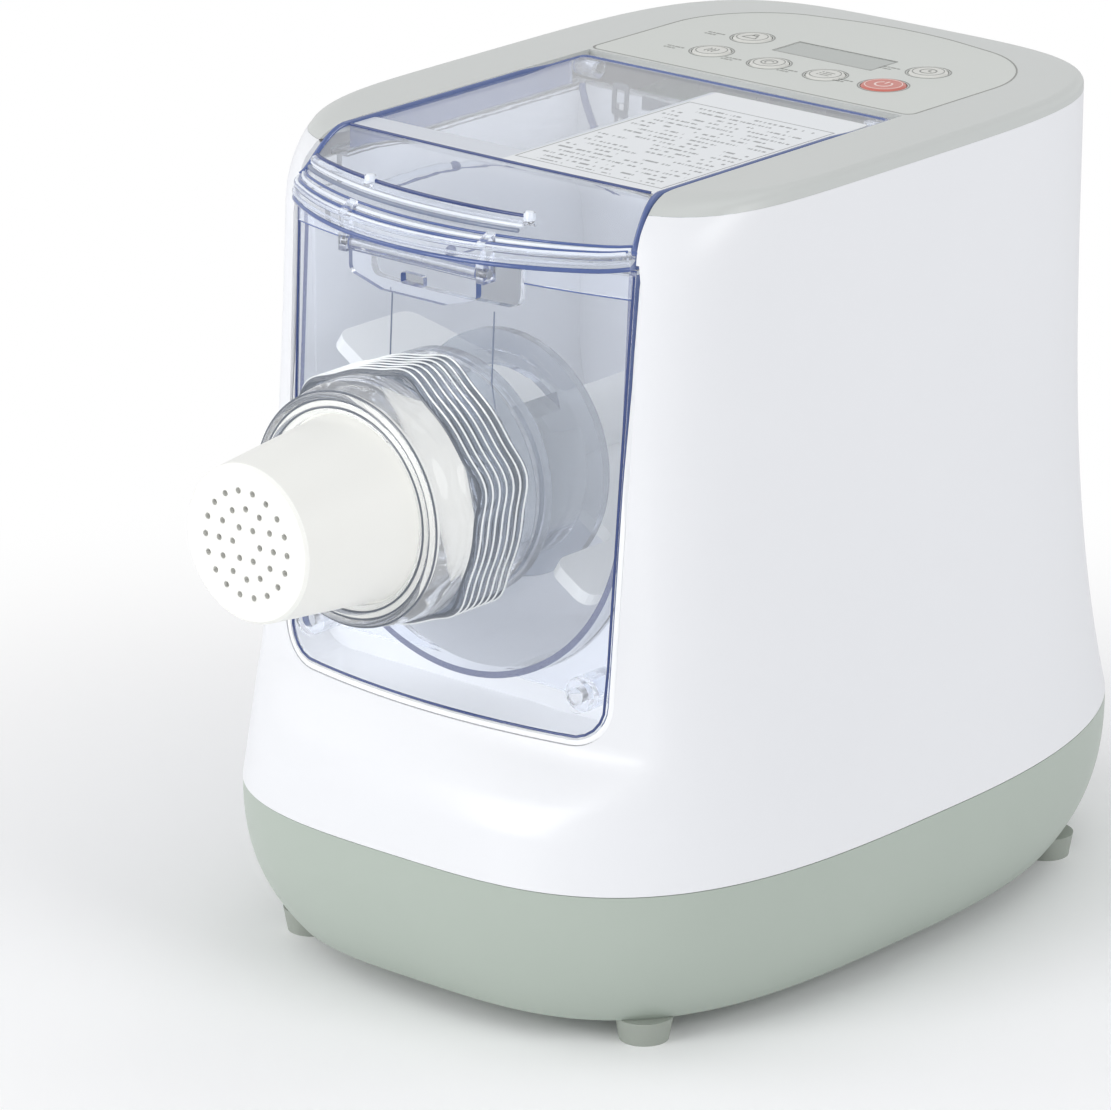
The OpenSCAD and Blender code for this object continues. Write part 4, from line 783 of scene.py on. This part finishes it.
# --- Lid rims and visor ---
# Rounded beads moulded on the clear lid stiffen it: round it and down the visor's ends,
# along its crest, a bar and fine lines across the visor, and three along the lip. Two
# small posts stand on the visor. The beads' deep blue is painted glow as on the cut edges;
# the dark crest bead and dark lines are painted shade, and the pale lines and posts are painted
# highlights.
lid_top, lip_top, lip_low = 0.290, 0.275, 0.2696
lip_bow = 0.027
lip_radius = (lip_half ** 2 + lip_bow ** 2) / (2 * lip_bow)


def visor_point(x, v, lift=0.0):
    """A point of the visor's upper face: x across, v from the crest (0) to the lip (1)."""
    crest = lid_front - 0.0015 * (1 - (x / lip_half) ** 2)
    corner = min(1.0, max(0.0, (abs(x) - lip_half + 0.009) / 0.009))
    lip = (lip_end - lip_bow + lip_radius - math.sqrt(lip_radius ** 2 - x ** 2)
           + 0.008 * (1 - math.sqrt(1 - corner ** 2)))
    return Vector((x, blend_to(crest, lip, v),
                   blend_to(lip_top, lid_top, (1 + math.cos(math.pi * v)) / 2) + lift))


def bead(name, path, radius, mat, body):
    """A round bead swept along a path, closed at both ends."""
    def spot(angle, k):
        ahead = path[min(k + 1, len(path) - 1)] - path[max(k - 1, 0)]
        ahead.normalize()
        across = ahead.cross(Vector((0, 0, 1)))
        across = across.normalized() if across.length > 0.05 else Vector((1, 0, 0))
        return path[k] + radius * (math.cos(angle) * across + math.sin(angle) * across.cross(ahead))

    form = loft_form(12, list(range(len(path))), spot)
    close_tube(form)
    return finish_piece(name, form, mat, body, "clear_plastic")


def visor_end(side):
    """The S down the visor's end, from the crest to the lip."""
    return [visor_point(side * (blend_to(lid_half, lip_half, v / 14) - 0.0008), v / 14, 0.0002)
            for v in range(15)]


inset, rim_turn = 0.0009, 0.003          # how far in the rim lies, and its corner's radius
rim_z = lid_top + 0.0002
rear_line = lid_back - 0.0016
turn_y = rear_line - rim_turn
rim_path = ([p for p in reversed(visor_end(-1))]
            + [Vector((-lid_half + inset, lid_front + (turn_y - lid_front) * k / 8, rim_z))
               for k in range(1, 9)]
            + [Vector((-lid_half + inset + rim_turn * (1 - math.cos(a)),
                       turn_y + rim_turn * math.sin(a), rim_z)) for a in (0.4, 0.8, 1.2, math.pi / 2)]
            + [Vector((x / 1000, rear_line, rim_z)) for x in range(-60, 61, 15)])
rim_path += [Vector((-p.x, p.y, p.z)) for p in reversed(rim_path[:-9])]
rear_sink = Vector((0, 0, 0.0009))       # the rear lies lower, to clear the cover as the lid opens
rim_path = [p - rear_sink if p.y > 0.026 else p for p in rim_path]
bead("lid_rim_bead", rim_path, 0.0011, painted_edge_glow, "lid")
# the crest bead's dark blue is a painted shadow line under the sheet's edge
bead("lid_crest_bead", [visor_point(x / 1000, 0.0, 0.0001) for x in range(-67, 68, 4)], 0.0006,
     painted_edge_shade, "lid")
for name, shift_y, shift_z, radius, mat in (
        ("lip_low_bead", -0.0001, lip_low - lip_top + 0.0005, 0.0008, painted_edge_glow),
        ("lip_middle_bead", -0.0004, -0.0026, 0.0006, clear_blue),
        ("lip_top_bead", 0.0006, 0.0001, 0.0007, clear_blue)):
    bead(name, [visor_point(x / 1000, 1.0) + Vector((0, shift_y, shift_z)) for x in range(-73, 74, 2)],
         radius, mat, "lid")
# grey for painted shade lines on the visor and the panel's guides
painted_shade_grey = plastic("visor_painted_shade", (112, 122, 144), (140, 150, 172), 0.5, 0.2, 0.08,
                     grain_depth=0.0, drift_scale=50, coat=0.4)
# pale white for painted highlights on the visor's lines and posts
painted_highlight_white = plastic("visor_painted_highlight", (232, 237, 246), (214, 221, 234), 0.5, 0.1, 0.05,
                      grain_depth=0.0, drift_scale=50, coat=0.6)
# the bar's upper line in dark blue and its lower line in grey are painted shade; its pale line is a
# painted highlight
for name, v, lift, radius, mat in (("visor_bar_top", 0.55, 0.0004, 0.0007, painted_edge_shade),
                                   ("visor_bar", 0.61, 0.0007, 0.0014, clear_blue),
                                   ("visor_bar_highlight", 0.65, 0.0006, 0.0006, painted_highlight_white),
                                   ("visor_bar_low", 0.70, 0.0004, 0.0008, painted_shade_grey)):
    bead(name, [visor_point(x / 1000, v, lift) for x in range(-70, 37, 3)], radius, mat, "lid")
# pale lines are painted highlights, blue lines painted glow along the lip
for name, v, radius, mat in (("lip_line_1", 0.78, 0.0005, painted_edge_glow),
                             ("lip_line_2", 0.84, 0.0006, painted_highlight_white),
                             ("lip_line_3", 0.90, 0.0006, painted_edge_glow),
                             ("lip_line_4", 0.955, 0.0006, painted_highlight_white)):
    bead(name, [visor_point(x / 1000, v, 0.0003) for x in range(-72, 73, 3)], radius, mat, "lid")
# the posts are pale as painted highlights
for tag, x in (("left", -0.035), ("right", 0.035)):
    form = bmesh.new()
    bmesh.ops.create_cone(form, cap_ends=True, segments=24, radius1=0.0021, radius2=0.0014,
                          depth=0.0032)
    ends = [e for e in form.edges if abs(e.verts[0].co.z - e.verts[1].co.z) < 0.0001]
    round_over(form, ends, 0.0004, 3)
    bmesh.ops.translate(form, vec=(x, lip_end - 0.003, 0.2824), verts=form.verts)
    finish_piece("visor_post_" + tag, form, painted_highlight_white, "lid", "clear_plastic")

# --- Lock nut ---
# Clear nut with seven rounded ribs and six grips round it, a smooth band in front and
# a double lip that holds the die. Moulded in clear styrene, screwed on the barrel. Fine
# rings in its grooves and along its lips are painted shade, and those on its crests are
# painted highlights; the band and lips are in grey clear plastic as painted shade.
axis_z = 0.187
nut_r, grip_rise, ribs = 0.0434, 0.0034, 7
nut_rear, ribs_front, nut_front = -0.1342 + set_back, -0.158 + set_back, -0.176 + set_back


def nut_profile():
    """Stations round the nut's wall as (y, radius, share of the grips)."""
    rows = []
    steps = 8                 # stations along each rib
    for k in range(ribs * steps + 1):
        t = k / (ribs * steps)
        swell = abs(math.sin(math.pi * ribs * t)) ** 0.6
        rows.append((blend_to(nut_rear, ribs_front, t), nut_r - 0.0016 + 0.0016 * swell, 1.0))
    rows += [(ribs_front - 0.0008, 0.0422, 0.35), (ribs_front - 0.0020, 0.0420, 0.0),
             (ribs_front - 0.0060, 0.0419, 0.0), (ribs_front - 0.0100, 0.0414, 0.0),
             (ribs_front - 0.0128, 0.0404, 0.0), (ribs_front - 0.0140, 0.0394, 0.0)]
    for centre_r, bulge in ((0.0386, 0.0012), (0.0360, 0.0010)):
        rows += [(nut_front + 0.0018 - 0.0014 * math.sin(a), centre_r + bulge * math.cos(a), 0.0)
                 for a in (0.0, 0.5, 1.0, math.pi / 2, 2.1, 2.6, math.pi)]
    rows += [(nut_front + 0.0004, 0.0338, 0.0), (nut_front + 0.0014, 0.0326, 0.0),
             (nut_front + 0.0040, 0.0326, 0.0), (nut_front + 0.0041, 0.0373, 0.0),
             (nut_front + 0.0243, 0.0373, 0.0), (nut_front + 0.0244, 0.0364, 0.0),
             (nut_rear, 0.0364, 0.0)]
    return rows


nut_rows = nut_profile()


def nut_point(angle, row):
    """A point of the nut's skin, swollen outwards at the six grips."""
    y, radius, share = row
    grip = grip_rise * share * (0.5 + 0.5 * math.cos(6 * (angle - math.radians(15)))) ** 3
    return Vector(((radius + grip) * math.cos(angle), y, axis_z + (radius + grip) * math.sin(angle)))


form = loft_form(216, nut_rows, nut_point)
bmesh.ops.bridge_loops(form, edges=[e for e in form.edges if e.is_boundary])
bmesh.ops.recalc_face_normals(form, faces=form.faces)
# the smooth band and lips in front of the ribs take the grey clear plastic as painted shade
for face in form.faces:
    face.material_index = 1 if face.calc_center_median().y > ribs_front - 0.0004 else 0
finish_piece("ribbed_nut", form, (clear_bright, clear_painted_shade), "nut", "clear_plastic", ("lock_nut",), 50)

painted_nut_shade = plastic("nut_painted_shade_plastic", (92, 98, 108), (118, 124, 134), 0.6, 0.2, 0.05,
                   grain_depth=0.0)
painted_nut_highlight = plastic("nut_painted_highlight_plastic", (236, 239, 241), (222, 226, 230), 0.5, 0.08, 0.04,
                    grain_depth=0.0, coat=0.6)
pitch = (ribs_front - nut_rear) / ribs


def nut_rings(name, rows, radius, mat):
    """Fine round beads that run round the nut at the given stations, joined in one piece."""
    whole, count = bmesh.new(), 144
    for row in rows:
        def spot(angle, k, row=row):
            turn = 2 * math.pi * k / count
            out = Vector((math.cos(turn), 0, math.sin(turn)))
            return nut_point(turn, row) + radius * (math.cos(angle) * out
                                                    + math.sin(angle) * Vector((0, 1, 0)))

        form = loft_form(6, list(range(count)), spot)
        bmesh.ops.bridge_loops(form, edges=[e for e in form.edges if e.is_boundary])
        bmesh.ops.recalc_face_normals(form, faces=form.faces)
        part = bpy.data.meshes.new("ring")
        form.to_mesh(part)
        form.free()
        whole.from_mesh(part)
        bpy.data.meshes.remove(part)
    return finish_piece(name, whole, mat, "nut", "clear_plastic")


# dark rings in the grooves and along the lips are painted shade
nut_rings("nut_groove_painted_shade", [(nut_rear + pitch * k, nut_r - 0.0014, 1.0) for k in range(ribs + 1)],
          0.0006, painted_nut_shade)
# pale rings on the crests are painted highlights
nut_rings("nut_crest_painted_highlights", [(nut_rear + pitch * (k + 0.45), nut_r + 0.0001, 1.0) for k in range(ribs)],
          0.00036, painted_nut_highlight)
nut_rings("nut_lip_painted_shade", [(nut_front + 0.0017, 0.0400, 0.0), (nut_front + 0.0014, 0.0373, 0.0),
                            (nut_front + 0.0010, 0.0347, 0.0)], 0.0004, painted_nut_shade)

# --- Panel band ---
# The clear panel's upper edge is stepped: a band eight millimetres deep on both sides of
# the notch, with a fine line below it painted deep blue as edge glow. A bead runs round the
# panel's rim, painted dark blue as edge shade, and two fine moulded guides run down from
# the notch, painted grey as shade.


def panel_point(x, z, proud):
    """A point on the panel's bowed front face, or proud of it."""
    return Vector((x, bow_y - math.sqrt((bow_radius(z) + proud) ** 2 - x ** 2), z))


for tag, side in (("left", -1), ("right", 1)):
    for kind, low, high, proud, mat in (("band", 0.2600, 0.2676, 0.0009, clear_blue),
                                        ("line", 0.2593, 0.2598, 0.0003, painted_edge_glow)):
        form = bmesh.new()
        bmesh.ops.create_grid(form, x_segments=16, y_segments=3, size=0.5)
        for v in form.verts:
            z = blend_to(low, high, v.co.y + 0.5)
            x = side * blend_to(0.0340, panel_half(z) - 0.0006, v.co.x + 0.5)
            v.co = panel_point(x, z, proud)
        bmesh.ops.recalc_face_normals(form, faces=form.faces)
        for face in form.faces:
            if face.normal.y > 0:
                face.normal_flip()
        piece = finish_piece("panel_%s_%s" % (kind, tag), form, mat, "panel", "clear_plastic")
        thicken(piece, proud - 0.00002)

outline = [(-panel_half(0.2675 - 0.0148 * k) + 0.0007, 0.2675 - 0.0148 * k) for k in range(10)]
outline += [(-panel_low_w + 0.0127 - 0.0120 * math.cos(a), 0.1207 - 0.0120 * math.sin(a))
            for a in (0.2, 0.5, 0.8, 1.1, 1.4)]
outline += [(0.0105 * k, 0.1087) for k in range(-5, 1)]
outline += [(-x, z) for x, z in reversed(outline[:-1])]
bead("panel_rim_bead", [panel_point(x, z, 0.0001) for x, z in outline], 0.00048, painted_edge_shade, "panel")

# the guides are drawn in grey as painted shade
for tag, x in (("left", -0.0225), ("right", 0.0225)):
    bead("panel_guide_" + tag, [panel_point(x, z / 1000, 0.0001) for z in range(248, 208, -4)], 0.00028,
         painted_shade_grey, "panel")

# --- Trough fittings ---
# Moulded on the tub: a ledge with two knobs along each side wall and an S-shaped rib in
# each rear corner; the line under each ledge, the knobs and the ribs are painted deep blue
# as edge glow. The dark frame and tongue on the rear wall belong to the lid switch.
ledge_z, ledge_run = 0.2640, [-0.060 + 0.0107 * k for k in range(11)]
for tag, side in (("left", -1), ("right", 1)):
    wall_x = side * 0.0688
    bead("trough_ledge_" + tag, [Vector((wall_x, y, ledge_z)) for y in ledge_run], 0.0013, clear_blue,
         "machine")
    bead("trough_ledge_line_" + tag, [Vector((wall_x - side * 0.0010, y, 0.2622)) for y in ledge_run],
         0.0005, painted_edge_glow, "machine")
    for k, y in enumerate((-0.018, 0.012)):
        form = bmesh.new()
        bmesh.ops.create_uvsphere(form, u_segments=20, v_segments=12, radius=0.0022)
        bmesh.ops.scale(form, vec=(0.8, 1.0, 1.0), verts=form.verts)
        bmesh.ops.translate(form, vec=(wall_x - side * 0.0006, y, ledge_z), verts=form.verts)
        finish_piece("trough_knob_%s_%d" % (tag, k), form, painted_edge_glow, "machine", "clear_plastic")
    curl = []                 # an S down the corner
    for k in range(15):
        t = k / 14
        x = side * blend_to(0.0672, 0.0500, t * t * (3 - 2 * t))
        curl.append(Vector((x, 0.0478, 0.2795 - 0.026 * t)))
    bead("trough_corner_rib_" + tag, curl, 0.0013, painted_edge_glow, "machine")


def switch_block(x0, x1, y0, y1, low, high):
    """A square block of the lid switch."""
    return slab_form([(x0, y0, 0), (x1, y0, 0), (x1, y1, 0), (x0, y1, 0)], low, high)


switch_dark = plastic("switch_plastic", (92, 98, 108), (78, 84, 94), 0.4, 0.35, 0.08,
                      grain_depth=0.15)
form = switch_block(-0.0536, -0.0464, 0.0483, 0.0491, 0.2728, 0.2818)
upright = [e for e in form.edges if abs(e.verts[0].co.z - e.verts[1].co.z) < 0.0001
           and abs(e.verts[0].co.y - e.verts[1].co.y) > 0.0005]
round_over(form, upright, 0.0014, 4)
frame_piece = finish_piece("switch_frame", form, switch_dark, "machine", "dark_plastic")
cut(frame_piece, [switch_block(-0.0520, -0.0480, 0.0470, 0.0500, 0.2745, 0.2801)])
form = switch_block(-0.0400, -0.0150, 0.0484, 0.0491, 0.2760, 0.2796)
tongue_z, tip_share = 0.2778, 0.25
for v in form.verts:
    if v.co.x > -0.02:
        v.co.z = tongue_z + (v.co.z - tongue_z) * tip_share
finish_piece("switch_tongue", form, switch_dark, "machine", "dark_plastic")

# --- Paddle, screw and die ---
# White food-grade mouldings: the paddle turns in the trough, the screw in the barrel,
# and the nut holds the die.
dress(plastic("paddle_plastic", (240, 242, 242), (232, 235, 236), 0.3, 0.35, 0.06),
      "mixing_paddle", "screw_auger")
dress(plastic("die_plastic", (242, 242, 238), (234, 234, 229), 0.3, 0.42, 0.05), "noodle_die")

# --- Printed sheet ---
# White film stuck to the lid, printed with a thin frame and faint rows of strokes that
# say nothing; a bluish strip is left bare of print along its left.


def build_printed_rows():
    """The group that says where the sheet's frame and rows of strokes are printed."""
    tree = bpy.data.node_groups.new("printed_rows", "ShaderNodeTree")
    kind = "NodeSocketFloat"
    for name, value in (("Row Pitch", 0.0042), ("Stroke Scale", 900.0), ("Centre X", 0.0),
                        ("Centre Y", 0.0), ("Half Width", 0.03), ("Half Depth", 0.04)):
        tree.interface.new_socket(name=name, in_out="INPUT", socket_type=kind).default_value = value
    tree.interface.new_socket(name="Mask", in_out="OUTPUT", socket_type=kind)
    given, made = tree.nodes.new("NodeGroupInput"), tree.nodes.new("NodeGroupOutput")
    split = add(tree, "SeparateXYZ")
    join(tree, (add(tree, "TexCoord").outputs["Object"], split.inputs[0]))

    def calc(operation, a, b=0.0):
        return group_math(tree, operation, a, b)

    rows = calc("DIVIDE", split.outputs["Y"], given.outputs["Row Pitch"])
    row_mask = calc("LESS_THAN", calc("ABSOLUTE", calc("SUBTRACT", calc("FRACT", rows), 0.5)), 0.17)
    where = add(tree, "CombineXYZ")
    strokes, groups = add(tree, "TexNoise"), add(tree, "TexNoise")
    for node in (strokes, groups):
        node.noise_dimensions = "2D"
        node.inputs["Detail"].default_value = 0
        join(tree, (where.outputs[0], node.inputs["Vector"]))
    groups.inputs["Scale"].default_value = 110
    join(tree, (split.outputs["X"], where.inputs["X"]),
         (calc("MULTIPLY", calc("FLOOR", rows), 0.037), where.inputs["Y"]),
         (given.outputs["Stroke Scale"], strokes.inputs["Scale"]))
    body = calc("MULTIPLY", calc("GREATER_THAN", strokes.outputs["Fac"], 0.47),
                calc("GREATER_THAN", groups.outputs["Fac"], 0.44))

    def past(axis, half):
        from_centre = calc("SUBTRACT", split.outputs[axis], given.outputs["Centre " + axis])
        return calc("SUBTRACT", calc("ABSOLUTE", from_centre), given.outputs[half])

    out = calc("MAXIMUM", past("X", "Half Width"), past("Y", "Half Depth"))
    frame_line = calc("LESS_THAN", calc("ABSOLUTE", out), 0.0003)
    inside = calc("LESS_THAN", out, -0.0022)
    printed = calc("MULTIPLY", calc("MULTIPLY", row_mask, body), inside)
    join(tree, (calc("MAXIMUM", frame_line, printed), made.inputs["Mask"]))
    return tree


sheet_film = plastic("recipe_film", (228, 231, 234), (220, 224, 229), 0.3, 0.3, 0.04)
film_tree = sheet_film.node_tree
film_skin = film_tree.nodes["Principled BSDF"]
rows_node = add(film_tree, "Group")
rows_node.node_tree = build_printed_rows()
for key, value in (("Centre X", 0.0331), ("Centre Y", -0.0220), ("Half Width", 0.0315),
                   ("Half Depth", 0.0455)):
    rows_node.inputs[key].default_value = value
ink_mix, strip_mix = add(film_tree, "Mix"), add(film_tree, "Mix")
ink_mix.data_type = strip_mix.data_type = "RGBA"
ink_mix.inputs["B"].default_value = tone(112, 114, 118)
strip_mix.inputs["B"].default_value = tone(196, 202, 214)
film_split = add(film_tree, "SeparateXYZ")
strip = group_math(film_tree, "LESS_THAN", film_split.outputs["X"], 0.0006)
join(film_tree, (group_math(film_tree, "MULTIPLY", rows_node.outputs["Mask"], 0.85),
                 ink_mix.inputs["Factor"]),
     (film_skin.inputs["Base Color"].links[0].from_socket, ink_mix.inputs["A"]),
     (add(film_tree, "TexCoord").outputs["Object"], film_split.inputs[0]),
     (group_math(film_tree, "MULTIPLY", strip, 0.75), strip_mix.inputs["Factor"]),
     (ink_mix.outputs["Result"], strip_mix.inputs["A"]),
     (strip_mix.outputs["Result"], film_skin.inputs["Base Color"]))
dress(sheet_film, "recipe_sheet")

# --- Metal and inner parts ---
# Steel pins, screws and shaft, brass contacts, bush and pinion, nylon gears in a grey
# case, the motor, the two boards and the dark plastic pieces inside the housing.
dress(plastic("bright_steel", (190, 192, 195), (170, 172, 176), 0.5, 0.28, 0.12, metallic=1.0),
      "hinge_pins", "catch_pin", "base_screws", "gearbox_screws", "drive_shaft", "idler_pin")
dress(plastic("turned_brass", (212, 184, 120), (190, 160, 98), 0.5, 0.3, 0.1, metallic=1.0),
      "inlet_pins", "shaft_bush", "motor_pinion")
dress(plastic("dark_plastic", (60, 61, 64), (50, 51, 54), 0.4, 0.45, 0.1, grain_depth=0.2),
      "power_inlet", "display_module", "tact_switches", "cooling_fan", "power_parts", "shaft_seal")
dress(plastic("circuit_board", (52, 112, 78), (44, 98, 66), 0.5, 0.4, 0.1),
      "control_board", "power_board")
dress(plastic("gear_case_plastic", (120, 124, 130), (108, 112, 118), 0.5, 0.5, 0.1,
              grain_depth=0.3), "gearbox_case", "gearbox_cover")
dress(plastic("gear_nylon", (228, 226, 214), (216, 213, 200), 0.4, 0.4, 0.08),
      "drive_gear", "idler_gear")
dress(plastic("motor_paint", (116, 119, 124), (100, 103, 108), 0.4, 0.35, 0.1, metallic=0.6),
      "motor_can")
